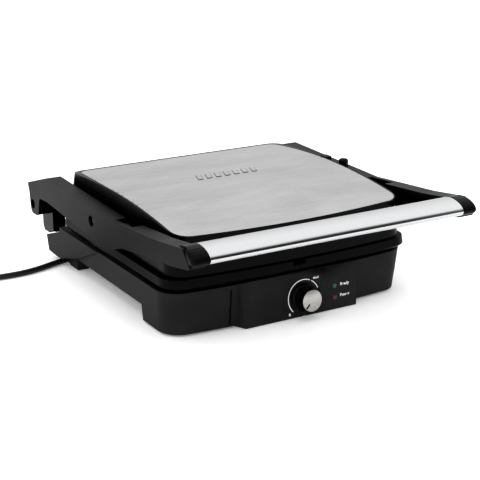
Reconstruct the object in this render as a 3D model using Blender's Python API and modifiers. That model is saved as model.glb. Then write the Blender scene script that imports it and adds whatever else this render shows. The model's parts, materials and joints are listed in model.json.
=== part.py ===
"""Contact grill (panini press) with a floating lid, built as an assembly of separate pieces.

Frame: metres, +Z up, -Y towards the front (the handle bar), +X to the right seen from the front.
The origin is at the bottom centre of the bounding box, on the worktop that the grill stands on.
The lid is modelled closed.  Pieces that turn have their origin on their own axis.
"""
import math

import bmesh
import bpy
from mathutils import Matrix, Vector

# ---------------------------------------------------------------- driving dimensions
GAP = 0.0003                 # clearance between pieces that touch or fit together
BEYOND = 0.3                 # reach of cutters that pass right through

BODY_X = -0.0055             # centre of base and lid: the right arm stands off further, for its lock

BASE_HALF_W = 0.1605         # lower housing at its top edge
BASE_FRONT_Y = -0.1320
BASE_REAR_Y = 0.2000
BASE_TOP_Z = 0.0520
BASE_BOTTOM_Z = 0.0024
BASE_DRAFT = 0.0040          # how far the walls lean in towards the bottom
BASE_BOW = 0.0070            # how far the middle of the front stands forward
BASE_CORNER_R = 0.0260
BASE_WALL = 0.0030
ARCH_Z = 0.0220              # underside between the front and the rear feet
ARCH_FRONT_Y = BASE_FRONT_Y + 0.0670
FLOOR_T = 0.0025
LEDGE_Y = BASE_REAR_Y - 0.0440   # the rear ledge that carries the hinge posts starts here
LEDGE_FRONT_Z = BASE_TOP_Z - 0.0065
LEDGE_REAR_Z = BASE_TOP_Z - 0.0210
LEDGE_RUN = 0.0430
WELL_TOP_Z = LEDGE_REAR_Z - 0.0040   # ceiling of the hollow under the ledge
REAR_SKIRT_Z = 0.0100

PANEL_HALF_TOP = 0.0800      # control box on the front wall
PANEL_HALF_BOTTOM = 0.0745
PANEL_TOP_Z = BASE_TOP_Z + 0.0010
PANEL_BOTTOM_Z = 0.0006
PANEL_TOP_Y = BASE_FRONT_Y - 0.0065
PANEL_BOTTOM_Y = BASE_FRONT_Y - 0.0110
PANEL_CHAMFER = 0.0080

LEG_Y = (LEDGE_Y - 0.0275, LEDGE_Y + 0.0005)     # rear legs
LEG_INSET = 0.0095
LEG_WIDTH = 0.0180
FOOT_T = 0.0030              # rubber under the rear legs
COVER_PLATE_HALF = BASE_HALF_W - 0.0175          # sheet cover underneath, half its width
COVER_PLATE_T = 0.0015
VENT_COUNT = 5
VENT_PITCH = 0.0180

DIAL_X = 0.0028              # thermostat dial on the control box
DIAL_Z = 0.0225
KNOB_R = 0.0165
KNOB_TOP_R = KNOB_R - 0.0028
KNOB_LENGTH = 0.0185
KNOB_CAP_R = KNOB_TOP_R - 0.0008
KNOB_CAP_T = 0.0012
DISH_R = KNOB_R + 0.0055
DISH_DEPTH = 0.0012
SHAFT_R = 0.0030
SHAFT_LENGTH = 0.0240
POINTER_ANGLE = math.radians(225.0)   # where the pointer stands at the "0" mark, from the right
LENS_X = 0.0450
LENS_R = (0.0030, 0.0033)
LENS_Z = (0.0285, 0.0145)

BLOCK_HEIGHT = 0.0140        # terminal block, hung from the ceiling of the rear hollow
BLOCK_DROP = 0.0010
PLATE_RIM_Z = (BASE_TOP_Z + 0.0050, BASE_TOP_Z + 0.0170)   # rim of the lower grill plate
PLATE_HALF_W = BASE_HALF_W + 0.0010
PLATE_FRONT_Y = BASE_FRONT_Y - 0.0060
PLATE_REAR_Y = LEDGE_Y - 0.0060
PLATE_WELL_HALF_W = PLATE_HALF_W - 0.0215
PLATE_WELL_FRONT_Y = PLATE_FRONT_Y + 0.0230
PLATE_WELL_REAR_Y = PLATE_REAR_Y - 0.0220
PLATE_WELL_Z = PLATE_RIM_Z[0] + 0.0055
RIB_PITCH = 0.0140
RIB_WIDTH = 0.0060
RIB_RISE = 0.0050
RIB_COUNT = 2 * int((PLATE_WELL_HALF_W - RIB_WIDTH) / RIB_PITCH) + 1

LID_SLIT = 0.0020            # the lid's edge stands this far above the lower plate
LID_RIM_Z = PLATE_RIM_Z[1] + LID_SLIT
LID_RIM_TOP_Z = LID_RIM_Z + 0.0120
LID_HALF_W = PLATE_HALF_W - 0.0070
LID_FRONT_Y = PLATE_FRONT_Y + 0.0030
LID_REAR_Y = PLATE_REAR_Y
LID_TOP_HALF_W = LID_HALF_W - 0.0045
LID_TOP_FRONT_Y = LID_FRONT_Y + 0.0020
LID_TOP_REAR_Y = LID_REAR_Y - 0.0060
LID_WALL = 0.0030
DOME_TOP_Z = LID_RIM_Z + 0.0585      # the lid's roof is bent along Y only
DOME_TOP_Y = 0.0300
DOME_FRONT_Z = DOME_TOP_Z - 0.0135
DOME_REAR_Z = DOME_TOP_Z - 0.0045
COVER_T = 0.0010
COVER_HALF_W = LID_HALF_W - 0.0080
COVER_FRONT_Y = LID_FRONT_Y + 0.0010
COVER_REAR_Y = LID_REAR_Y - 0.0120

ARM_STANDOFF = 0.0030        # the arms' inner faces stand this far outside the base's half-width
ARM_WIDTH = 0.0190           # width of an arm across X
ARM_INNER_X = BASE_HALF_W + ARM_STANDOFF
ARM_OUTER_X = ARM_INNER_X + ARM_WIDTH
ARM_WEB = 0.0030             # outer wall of the hollow arms
CAP_COVER = 0.0040           # the arms' outer walls cover the end caps this far in
CAP_OUTER_X = ARM_OUTER_X - CAP_COVER
CAP_LENGTH = 0.0165          # of a cap, between that wall and the bar

BAR_Y = BASE_FRONT_Y - 0.0701    # handle bar: a flattened tube, tipped down at the front
BAR_Z = LID_RIM_Z + 0.0499
BAR_HALF_DEPTH = 0.0189
BAR_HALF_HEIGHT = 0.0088
BAR_TILT = math.radians(8.3)
BAR_WALL = 0.0015
BAR_HALF_LENGTH = CAP_OUTER_X - CAP_LENGTH
ARM_FRONT_Y = BAR_Y + 0.0031     # front end of an arm at its top; it slants forward below
ARM_TIP_Y = BAR_Y - 0.0139

HINGE_Y = BASE_REAR_Y + 0.0020   # axis of the rear hinge, along X
HINGE_Z = BASE_TOP_Z + 0.0210
HINGE_PIN_R = 0.0040
POST_R = 0.0150              # round top of a hinge post
POST_WIDTH = 0.0170
POST_REAR_Y = HINGE_Y + 0.0190
POST_WEB = 0.0100            # the inboard part of a post that stands on the ledge
POST_CLEAR = 0.0010          # between a post and its arm
POST_LIFT = 0.0020           # between the outer part of a post and the ledge

PIVOT_Y = 0.0220             # axis on which the lid rocks between the arms
PIVOT_Z = LID_RIM_Z + 0.0274
PIVOT_SHANK_R = 0.0030
PIVOT_HEAD_R = 0.0052
PIVOT_RECESS_R = PIVOT_HEAD_R + 0.0012
PIVOT_RECESS = 0.0060
PIVOT_BOSS_R = PIVOT_SHANK_R + 0.0065

BUTTON_X = ARM_INNER_X + 0.0120      # release button on the right arm
BUTTON_Y = 0.0300
BUTTON_R = 0.0062
BUTTON_PROUD = 0.0088
BUTTON_TRAVEL = 0.0030
BUTTON_BORE = 0.0125
SPRING_WIRE_R = 0.0004

ELEMENT_R = 0.0034           # sheathed heating elements
CORD_R = 0.0035
GLAND_X = -0.1050
GLAND_Y = LEDGE_Y + 0.0100
GLAND_Z = 0.0085
GLAND_R = 0.0049
GLAND_LENGTH = 0.0300
CHANNEL_X = BODY_X - BASE_HALF_W + 0.0170        # the cord's way out under the rear left flank
COIL_X = -0.3030
COIL_Y = 0.1990
COIL_R = (0.0385, 0.0455)    # its turns lie beside and on each other, in two layers
PLUG_R = 0.0185
PLUG_LENGTH = 0.0400
PLUG_NOSE = 0.0280           # tapered sleeve on the plug
PLUG_Y = 0.2262              # free end of that sleeve
PIN_R = 0.0024
PIN_LENGTH = 0.0190
PIN_SPACING = 0.0190

SIDES = (("left", -1.0), ("right", 1.0))

MODEL = None
CUTTERS = None
MATERIALS = {}

PAINTS = {                   # linear colour, roughness, metallic
    "moulded black plastic": ((0.010, 0.010, 0.011), 0.45, 0.0),
    "gloss black plastic": ((0.006, 0.006, 0.007), 0.22, 0.0),
    "soft grey-black plastic": ((0.022, 0.022, 0.023), 0.55, 0.0),
    "brushed steel": ((0.55, 0.54, 0.53), 0.32, 1.0),
    "polished aluminium": ((0.80, 0.80, 0.81), 0.18, 1.0),
    "coated cast aluminium": ((0.012, 0.012, 0.013), 0.40, 0.0),
    "zinc-plated steel": ((0.50, 0.50, 0.49), 0.35, 1.0),
    "sheathed element": ((0.16, 0.15, 0.14), 0.45, 1.0),
    "aluminised sheet": ((0.60, 0.60, 0.60), 0.40, 1.0),
    "rubber": ((0.012, 0.012, 0.012), 0.85, 0.0),
    "green lens": ((0.01, 0.10, 0.06), 0.15, 0.0),
    "red lens": ((0.16, 0.006, 0.006), 0.15, 0.0),
    "white ceramic": ((0.75, 0.73, 0.68), 0.40, 0.0),
    "cord sheath": ((0.010, 0.010, 0.010), 0.60, 0.0),
}


# ---------------------------------------------------------------- scene and materials
def start_clean():
    """Empty the scene and make the two collections."""
    global MODEL, CUTTERS
    for obj in list(bpy.data.objects):
        bpy.data.objects.remove(obj, do_unlink=True)
    MODEL = bpy.data.collections.new("contact_grill")
    CUTTERS = bpy.data.collections.new("cutters")
    for collection in (MODEL, CUTTERS):
        bpy.context.scene.collection.children.link(collection)


def paint(obj, name):
    """Give an object one of the listed materials."""
    if name not in MATERIALS:
        colour, roughness, metallic = PAINTS[name]
        mat = bpy.data.materials.new(name)
        mat.use_nodes = True
        shader = mat.node_tree.nodes["Principled BSDF"]
        shader.inputs["Base Color"].default_value = (*colour, 1.0)
        shader.inputs["Roughness"].default_value = roughness
        shader.inputs["Metallic"].default_value = metallic
        MATERIALS[name] = mat
    obj.data.materials.clear()
    obj.data.materials.append(MATERIALS[name])


def new_object(name, mesh, origin=(0.0, 0.0, 0.0)):
    """Wrap a mesh made in world coordinates in an object whose origin is at the given point."""
    mesh.transform(Matrix.Translation(-Vector(origin)))
    obj = bpy.data.objects.new(name, mesh)
    obj.location = origin
    MODEL.objects.link(obj)
    return obj


def as_cutter(obj):
    """Move a helper solid out of the model."""
    if obj.name in MODEL.objects:
        MODEL.objects.unlink(obj)
    CUTTERS.objects.link(obj)
    obj.hide_render = True
    obj.display_type = "WIRE"
    return obj


def boolean(target, tool, operation):
    mod = target.modifiers.new(operation.lower() + "_" + tool.name, "BOOLEAN")
    mod.operation = operation
    mod.solver = "EXACT"
    mod.object = tool
    as_cutter(tool)


def cut(target, tool):
    boolean(target, tool, "DIFFERENCE")


def join(target, tool):
    boolean(target, tool, "UNION")


def keep_inside(target, tool):
    boolean(target, tool, "INTERSECT")


def soften(obj, width, segments=1, angle=35.0):
    """Round the sharp edges."""
    mod = obj.modifiers.new("soften", "BEVEL")
    mod.width = width
    mod.segments = segments
    mod.limit_method = "ANGLE"
    mod.angle_limit = math.radians(angle)
    mod.use_clamp_overlap = True


# ---------------------------------------------------------------- basic solids
def box(name, xs, ys, zs, origin=(0.0, 0.0, 0.0)):
    """A box between pairs of coordinates."""
    bm = bmesh.new()
    size = (xs[1] - xs[0], ys[1] - ys[0], zs[1] - zs[0])
    middle = ((xs[0] + xs[1]) / 2, (ys[0] + ys[1]) / 2, (zs[0] + zs[1]) / 2)
    bmesh.ops.create_cube(bm, size=1.0, matrix=Matrix.Translation(middle) @ Matrix.Diagonal((*size, 1.0)))
    mesh = bpy.data.meshes.new(name)
    bm.to_mesh(mesh)
    bm.free()
    return new_object(name, mesh, origin)


def axis_frame(start, direction):
    """A matrix whose Z axis runs from start along direction."""
    turn = Vector(direction).to_track_quat("Z", "Y").to_matrix().to_4x4()
    return Matrix.Translation(start) @ turn


def rod(name, start, direction, length, r1, r2=None, segments=32, origin=None):
    """A cylinder or cone from a point along a direction."""
    bm = bmesh.new()
    middle = axis_frame(start, direction) @ Matrix.Translation((0.0, 0.0, length / 2))
    bmesh.ops.create_cone(bm, cap_ends=True, segments=segments, radius1=r1,
                          radius2=r1 if r2 is None else r2, depth=length, matrix=middle)
    mesh = bpy.data.meshes.new(name)
    bm.to_mesh(mesh)
    bm.free()
    return new_object(name, mesh, start if origin is None else origin)


def mesh_from(obj):
    """Replace a curve or screwed object by its evaluated, welded mesh in world coordinates."""
    graph = bpy.context.evaluated_depsgraph_get()
    mesh = bpy.data.meshes.new_from_object(obj.evaluated_get(graph))
    mesh.transform(obj.matrix_world)
    bm = bmesh.new()
    bm.from_mesh(mesh)
    bmesh.ops.remove_doubles(bm, verts=bm.verts, dist=1e-6)
    bmesh.ops.recalc_face_normals(bm, faces=bm.faces)
    bm.to_mesh(mesh)
    bm.free()
    bpy.data.objects.remove(obj, do_unlink=True)
    return mesh


def turned(name, profile, start, direction, steps=32):
    """A solid turned about an axis: profile is (radius, height) from the top down its outer side."""
    bm = bmesh.new()
    verts = [bm.verts.new((radius, 0.0, height)) for radius, height in profile]
    for first, second in zip(verts, verts[1:]):
        bm.edges.new((first, second))
    flat = bpy.data.meshes.new(name + "_profile")
    bm.to_mesh(flat)
    bm.free()
    obj = bpy.data.objects.new(name + "_turned", flat)
    MODEL.objects.link(obj)
    obj.matrix_world = axis_frame(start, direction)
    screw = obj.modifiers.new("turn", "SCREW")
    screw.steps = steps
    screw.render_steps = steps
    screw.use_merge_vertices = True
    screw.merge_threshold = 0.00001
    bpy.context.view_layer.update()
    return new_object(name, mesh_from(obj), start)


def extruded(name, outline, to_world, thickness, origin=(0.0, 0.0, 0.0)):
    """A flat outline given thickness equally both ways, then placed by a matrix."""
    curve = bpy.data.curves.new(name + "_curve", "CURVE")
    curve.dimensions = "2D"
    curve.fill_mode = "BOTH"
    curve.extrude = thickness / 2
    spline = curve.splines.new("POLY")
    spline.points.add(len(outline) - 1)
    spline.points.foreach_set("co", [c for a, b in outline for c in (a, b, 0.0, 1.0)])
    spline.use_cyclic_u = True
    obj = bpy.data.objects.new(name + "_curve", curve)
    MODEL.objects.link(obj)
    obj.matrix_world = to_world
    bpy.context.view_layer.update()
    return new_object(name, mesh_from(obj), origin)


def side_plate(name, outline, x0, x1, origin=(0.0, 0.0, 0.0)):
    """An outline in (y, z) extruded from x0 to x1."""
    turn = Matrix(((0, 0, 1, (x0 + x1) / 2), (1, 0, 0, 0), (0, 1, 0, 0), (0, 0, 0, 1)))
    return extruded(name, outline, turn, abs(x1 - x0), origin)


def floor_plate(name, outline, z0, z1):
    """An outline in (x, y) extruded from z0 to z1."""
    return extruded(name, outline, Matrix.Translation((0.0, 0.0, (z0 + z1) / 2)), z1 - z0)


def loft(name, sections):
    """A closed solid through rings of equal point count, given from the bottom up."""
    bm = bmesh.new()
    rings = [[bm.verts.new(point) for point in ring] for ring in sections]
    count = len(rings[0])
    for low, high in zip(rings, rings[1:]):
        for i in range(count):
            j = (i + 1) % count
            bm.faces.new((low[i], low[j], high[j], high[i]))
    bm.faces.new(list(reversed(rings[0])))
    bm.faces.new(rings[-1])
    bmesh.ops.recalc_face_normals(bm, faces=bm.faces)
    mesh = bpy.data.meshes.new(name)
    bm.to_mesh(mesh)
    bm.free()
    return new_object(name, mesh)


def tube(name, points, radius, resolution=2):
    """A round wire through a list of points, with closed ends."""
    curve = bpy.data.curves.new(name + "_curve", "CURVE")
    curve.dimensions = "3D"
    curve.bevel_depth = radius
    curve.bevel_resolution = resolution
    curve.use_fill_caps = True
    spline = curve.splines.new("POLY")
    spline.points.add(len(points) - 1)
    spline.points.foreach_set("co", [c for p in points for c in (*p, 1.0)])
    obj = bpy.data.objects.new(name + "_curve", curve)
    MODEL.objects.link(obj)
    bpy.context.view_layer.update()
    return new_object(name, mesh_from(obj))


# ---------------------------------------------------------------- outlines
def arc(cx, cy, radius, start, end, steps):
    """Points along an arc, angles in degrees, both ends included."""
    angles = [math.radians(start + (end - start) * i / steps) for i in range(steps + 1)]
    return [(cx + radius * math.cos(a), cy + radius * math.sin(a)) for a in angles]


def plan_outline(half_w, front, rear, corner, bow=0.0, rear_corner=None, steps=6, front_steps=8):
    """A rounded rectangle in (x, y) whose front edge bows forward, anticlockwise from the front."""
    back = corner if rear_corner is None else rear_corner
    flat = half_w - corner
    edge = [(-flat + 2 * flat * i / front_steps) for i in range(1, front_steps)]
    points = [(x, front - bow * (1 - (x / flat) ** 2)) for x in edge]
    points += arc(flat, front + corner, corner, -90, 0, steps)
    points += arc(half_w - back, rear - back, back, 0, 90, steps)
    points += arc(-half_w + back, rear - back, back, 90, 180, steps)
    points += arc(-flat, front + corner, corner, 180, 270, steps)
    return [(BODY_X + x, y) for x, y in points]


def filleted(corners, steps=4):
    """A closed polygon of (a, b, radius) with each corner rounded to its radius."""
    points = []
    count = len(corners)
    for i, (a, b, radius) in enumerate(corners):
        here = Vector((a, b))
        before = Vector(corners[i - 1][:2]) - here
        after = Vector(corners[(i + 1) % count][:2]) - here
        half = before.angle(after) / 2
        if radius <= 0.0 or abs(half - math.pi / 2) < 0.01:
            points.append((a, b))
            continue
        reach = min(radius / math.tan(half), 0.48 * before.length, 0.48 * after.length)
        size = reach * math.tan(half)
        centre = here + (before.normalized() + after.normalized()).normalized() * (size / math.sin(half))
        first = here + before.normalized() * reach - centre
        last = here + after.normalized() * reach - centre
        sweep = first.angle_signed(last)
        for k in range(steps + 1):
            turn = Matrix.Rotation(-sweep * k / steps, 2)
            spot = centre + turn @ first
            points.append((spot.x, spot.y))
    return points


def oval(grow=0.0, steps=40):
    """The handle bar's cross-section in (y, z)."""
    a = BAR_HALF_DEPTH + grow
    b = BAR_HALF_HEIGHT + grow
    points = []
    for i in range(steps):
        t = 2 * math.pi * i / steps
        u, v = a * math.cos(t), b * math.sin(t)
        points.append((BAR_Y + u * math.cos(BAR_TILT) - v * math.sin(BAR_TILT),
                       BAR_Z + u * math.sin(BAR_TILT) + v * math.cos(BAR_TILT)))
    return points


def dome_z(y):
    """Height of the lid's roof at a depth y."""
    if y > DOME_TOP_Y:
        share = (y - DOME_TOP_Y) / (COVER_REAR_Y - DOME_TOP_Y)
        return DOME_TOP_Z - (DOME_TOP_Z - DOME_REAR_Z) * share ** 2
    share = (DOME_TOP_Y - y) / (DOME_TOP_Y - COVER_FRONT_Y)
    return DOME_TOP_Z - (DOME_TOP_Z - DOME_FRONT_Z) * share ** 2


def under_dome(name, drop, bottom=0.0, steps=24):
    """Everything below the roof lowered by drop."""
    front, rear = COVER_FRONT_Y - 0.02, COVER_REAR_Y + 0.02
    ys = [front + (rear - front) * i / steps for i in range(steps + 1)]
    outline = [(front, bottom)] + [(y, dome_z(y) - drop) for y in ys] + [(rear, bottom)]
    return side_plate(name, list(reversed(outline)), -BEYOND, BEYOND)


def dome_sheet(name, drop, thickness, steps=24):
    """A sheet bent to the roof, lowered by drop."""
    front, rear = COVER_FRONT_Y - 0.02, COVER_REAR_Y + 0.02
    ys = [front + (rear - front) * i / steps for i in range(steps + 1)]
    outline = [(y, dome_z(y) - drop - thickness) for y in ys]
    outline += [(y, dome_z(y) - drop) for y in reversed(ys)]
    return side_plate(name, outline, -BEYOND, BEYOND)


def panel_y(z):
    """Depth of the control box's leaning face at a height."""
    share = (z - PANEL_BOTTOM_Z) / (PANEL_TOP_Z - PANEL_BOTTOM_Z)
    return PANEL_BOTTOM_Y + (PANEL_TOP_Y - PANEL_BOTTOM_Y) * share


def panel_normal():
    """Unit vector out of the control box's face."""
    rise = PANEL_TOP_Z - PANEL_BOTTOM_Z
    lean = PANEL_TOP_Y - PANEL_BOTTOM_Y
    return Vector((0.0, -rise, lean)).normalized()


def on_panel(x, z, out=0.0):
    """A point on the control box's face, or in front of it."""
    return Vector((x, panel_y(z), z)) + panel_normal() * out


# ---------------------------------------------------------------- base
def base_ring(z, shrink=0.0, **extra):
    """The lower housing's outline at a height, or its inner wall."""
    lean = BASE_DRAFT * (BASE_TOP_Z - z) / (BASE_TOP_Z - BASE_BOTTOM_Z)
    outline = plan_outline(BASE_HALF_W - lean - shrink, BASE_FRONT_Y + lean + shrink,
                           BASE_REAR_Y - shrink, BASE_CORNER_R - shrink, BASE_BOW,
                           rear_corner=0.006, **extra)
    return [(x, y, z) for x, y in outline]


def control_box():
    """The wedge that stands proud of the front wall and carries the dial."""
    back = BASE_FRONT_Y + 0.0060
    rings = []
    for z, half, face in ((PANEL_BOTTOM_Z, PANEL_HALF_BOTTOM, PANEL_BOTTOM_Y),
                          (PANEL_TOP_Z, PANEL_HALF_TOP, PANEL_TOP_Y)):
        rings.append([(-half - PANEL_CHAMFER, back, z), (-half, face, z), (half, face, z),
                      (half + PANEL_CHAMFER, back, z)])
    return loft("control_box", rings)


def gusset(side, name):
    """The deep rear flank of the housing, proud of its wall, under the hinge."""
    outline = filleted((
        (BASE_REAR_Y - 0.1570, BASE_TOP_Z - 0.0004, 0.0), (BASE_REAR_Y - 0.1000, 0.0270, 0.012),
        (LEDGE_Y, REAR_SKIRT_Z, 0.010), (BASE_REAR_Y - 0.0065, REAR_SKIRT_Z + 0.0010, 0.003),
        (BASE_REAR_Y - 0.0010, LEDGE_REAR_Z, 0.002),
        (LEDGE_Y, LEDGE_FRONT_Z, 0.0), (LEDGE_Y, BASE_TOP_Z - 0.0004, 0.0)))
    inner = BASE_HALF_W - 0.0160
    return side_plate("gusset_" + name, outline, BODY_X + side * inner,
                      BODY_X + side * (BASE_HALF_W + 0.0012))


def ledge_z(y):
    """Height of the sloping rear ledge."""
    return LEDGE_FRONT_Z - (LEDGE_FRONT_Z - LEDGE_REAR_Z) * (y - LEDGE_Y) / LEDGE_RUN


def lower_housing():
    outer = loft("lower_housing", [base_ring(BASE_BOTTOM_Z), base_ring(BASE_TOP_Z)])
    wide = (-BEYOND, BEYOND)
    cut(outer, box("arch_cut", wide, (ARCH_FRONT_Y, LEDGE_Y - 0.0005), (-0.01, ARCH_Z)))
    cut(outer, box("skirt_cut", wide, (LEDGE_Y - 0.0010, BEYOND), (-0.01, REAR_SKIRT_Z)))
    for name, side in SIDES:
        join(outer, gusset(side, name))
        join(outer, box("rear_leg_" + name, leg_span(side), LEG_Y, (FOOT_T, ARCH_Z + 0.001)))
    join(outer, control_box())
    floor_z = BASE_BOTTOM_Z + 0.0022
    deep = loft("front_well", [
        [(x, min(y, ARCH_FRONT_Y - BASE_WALL), z) for x, y, z in base_ring(h, BASE_WALL)]
        for h in (floor_z, BASE_TOP_Z + 0.01)])
    cut(outer, deep)
    half = BASE_HALF_W - BASE_DRAFT - BASE_WALL
    cut(outer, box("main_well", (BODY_X - half, BODY_X + half),
                   (ARCH_FRONT_Y - 0.008, LEDGE_Y - 0.004), (ARCH_Z + FLOOR_T, BASE_TOP_Z + 0.02)))
    end = BASE_REAR_Y + 0.0600
    wedge = ((LEDGE_Y, LEDGE_FRONT_Z), (end, ledge_z(end)), (end, BASE_TOP_Z + 0.04),
             (LEDGE_Y, BASE_TOP_Z + 0.04))
    cut(outer, side_plate("ledge_cut", wedge, *wide))
    cut(outer, box("rear_well", (GLAND_X + 0.004, BODY_X + half - 0.003),
                   (LEDGE_Y + 0.0050, BASE_REAR_Y - BASE_WALL), (-0.01, WELL_TOP_Z)))
    cut(outer, box("cord_channel", (CHANNEL_X, GLAND_X), (GLAND_Y - 0.0090, GLAND_Y + 0.0100),
                   (-0.01, GLAND_Z + 0.0085)))
    cut(outer, rod("gland_hole", (GLAND_X + 0.01, GLAND_Y, GLAND_Z), (-1, 0, 0), 0.02,
                   GLAND_R + GAP))
    tilt = panel_normal()
    cut(outer, rod("dial_dish", on_panel(DIAL_X, DIAL_Z, 0.004), -tilt, 0.004 + DISH_DEPTH, DISH_R,
                   segments=48))
    cut(outer, rod("shaft_hole", on_panel(DIAL_X, DIAL_Z, 0.01), -tilt, 0.03, SHAFT_R + 0.0012))
    for radius, z in zip(LENS_R, LENS_Z):
        cut(outer, rod("lens_hole", on_panel(LENS_X, z, 0.01), -tilt, 0.03, radius + GAP))
    paint(outer, "moulded black plastic")
    return outer


def leg_span(side):
    """Extent in X of a rear leg, inset from the gusset."""
    outer = BASE_HALF_W - LEG_INSET
    return sorted((BODY_X + side * (outer - LEG_WIDTH), BODY_X + side * outer))


def base_plate():
    """Sheet cover on the underside, between the feet."""
    sheet = box("bottom_cover", (BODY_X - COVER_PLATE_HALF, BODY_X + COVER_PLATE_HALF),
                (ARCH_FRONT_Y + 0.004, LEG_Y[0] - 0.0045),
                (ARCH_Z - GAP - COVER_PLATE_T, ARCH_Z - GAP))
    for i in range(VENT_COUNT):
        y = VENT_PITCH * (i - (VENT_COUNT - 1) / 2)
        cut(sheet, box(f"vent_cut_{i}", (-0.045, 0.045), (y - 0.002, y + 0.002), (0.0, 0.05)))
    paint(sheet, "moulded black plastic")


def cover_screws():
    inset = COVER_PLATE_HALF - 0.012
    spots = [(BODY_X + side * inset, y) for _, side in SIDES for y in (ARCH_FRONT_Y + 0.014, LEG_Y[0] - 0.0165)]
    for i, (x, y) in enumerate(spots):
        head = turned(f"cover_screw_{i + 1}", ((0.0, 0.0022), (0.0020, 0.0020), (0.0036, 0.0008),
                      (0.0038, 0.0), (0.0, 0.0)), (x, y, ARCH_Z - COVER_PLATE_T - 2 * GAP), (0, 0, -1), 20)
        paint(head, "zinc-plated steel")


def feet():
    """Rubber feet: pads under the front corners, pads under the rear legs."""
    for name, side in SIDES:
        front = rod("foot_front_" + name,
                    (BODY_X + side * (BASE_HALF_W - 0.0305), BASE_FRONT_Y + 0.0340, 0.0), (0, 0, 1),
                    BASE_BOTTOM_Z - GAP, 0.009, 0.0096, 28)
        paint(front, "rubber")
        xs = leg_span(side)
        rear = box("foot_rear_" + name, (xs[0] + 0.0015, xs[1] - 0.0015),
                   (LEG_Y[0] + 0.0015, LEG_Y[1] - 0.0015), (0.0, FOOT_T - GAP))
        paint(rear, "rubber")


def hinge_post(name, side):
    """Upright that carries the hinge pin, standing on the rear ledge just inside an arm."""
    outer_x = side * (ARM_INNER_X - POST_CLEAR)
    inner_x = outer_x - side * POST_WIDTH
    front = HINGE_Y - POST_R
    top = arc(HINGE_Y, HINGE_Z, POST_R, 180, 0, 14)
    foot = ledge_z(front) + POST_LIFT
    outline = [(front, foot), (BASE_REAR_Y + 0.0005, foot - 0.0055), (POST_REAR_Y - 0.0040, foot - 0.0055),
               (POST_REAR_Y, foot + 0.0010), (POST_REAR_Y, HINGE_Z - 0.0110)] + list(reversed(top))
    post = side_plate("hinge_post_" + name, outline, inner_x, outer_x)
    end = BASE_REAR_Y - 0.0015
    web = ((front + 0.0005, ledge_z(front + 0.0005) + GAP), (end, ledge_z(end) + GAP), (end, HINGE_Z - 0.012),
           (front + 0.0005, HINGE_Z - 0.012))
    join(post, side_plate("post_web_" + name, web, inner_x + side * 0.0006, inner_x + side * POST_WEB))
    cut(post, rod("post_bore_" + name, (inner_x - side * 0.01, HINGE_Y, HINGE_Z), (side, 0, 0),
                  POST_WIDTH + 0.02, HINGE_PIN_R + GAP, segments=24))
    soften(post, 0.0006)
    paint(post, "gloss black plastic")


def thermostat():
    tilt = panel_normal()
    body = box("thermostat", (DIAL_X - 0.016, DIAL_X + 0.016),
               (BASE_FRONT_Y + 0.0020, BASE_FRONT_Y + 0.0240), (DIAL_Z - 0.0145, DIAL_Z + 0.0155))
    join(body, rod("thermostat_shaft", on_panel(DIAL_X, DIAL_Z, KNOB_LENGTH - 0.006), -tilt,
                   SHAFT_LENGTH, SHAFT_R, segments=24))
    paint(body, "zinc-plated steel")
    board = box("lamp_board", (LENS_X - 0.009, LENS_X + 0.009),
                (BASE_FRONT_Y + 0.0030, BASE_FRONT_Y + 0.0046), (LENS_Z[1] - 0.0065, LENS_Z[0] + 0.0075))
    paint(board, "white ceramic")


def lenses():
    tilt = panel_normal()
    for name, radius, z, mat in (("lens_ready", LENS_R[0], LENS_Z[0], "green lens"),
                                 ("lens_power", LENS_R[1], LENS_Z[1], "red lens")):
        lens = turned(name, ((0.0, 0.0008), (radius * 0.6, 0.0006), (radius, 0.0), (radius, -0.0060),
                             (0.0, -0.0060)), on_panel(LENS_X, z), tilt, 24)
        paint(lens, mat)


def knob():
    tilt = panel_normal()
    start = on_panel(DIAL_X, DIAL_Z, -DISH_DEPTH + GAP)
    steps = 48
    body = turned("knob", ((0.0, KNOB_LENGTH), (KNOB_TOP_R - 0.0006, KNOB_LENGTH),
                           (KNOB_TOP_R, KNOB_LENGTH - 0.0006), (KNOB_TOP_R + 0.0006, 0.0045),
                           (KNOB_R, 0.0030), (KNOB_R, 0.0), (0.0, 0.0)), start, tilt, steps)
    cut(body, rod("knob_cap_seat", start + tilt * (KNOB_LENGTH - 0.0008), tilt, 0.01,
                  KNOB_CAP_R + GAP, segments=48))
    cut(body, rod("knob_bore", start - tilt * 0.002, tilt, KNOB_LENGTH - 0.0015, SHAFT_R + GAP,
                  segments=24))
    paint(body, "gloss black plastic")
    top = start + tilt * (KNOB_LENGTH - 0.0008 + GAP)
    cap = rod("knob_cap", top, tilt, KNOB_CAP_T, KNOB_CAP_R, KNOB_CAP_R - 0.0003, 48)
    across = Vector((1.0, 0.0, 0.0))
    up = tilt.cross(across)
    reach = across * math.cos(POINTER_ANGLE) + up * math.sin(POINTER_ANGLE)
    mark = box("pointer_cut", (0.4 * KNOB_CAP_R, 0.97 * KNOB_CAP_R), (-0.0007, 0.0007), (-0.0004, 0.0008))
    frame = Matrix.Identity(4)
    side = tilt.cross(reach).normalized()
    for row in range(3):
        frame[row][0], frame[row][1], frame[row][2] = reach[row], side[row], tilt[row]
        frame[row][3] = (top + tilt * KNOB_CAP_T)[row]
    mark.matrix_world = frame
    cut(cap, mark)
    paint(cap, "brushed steel")


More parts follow.
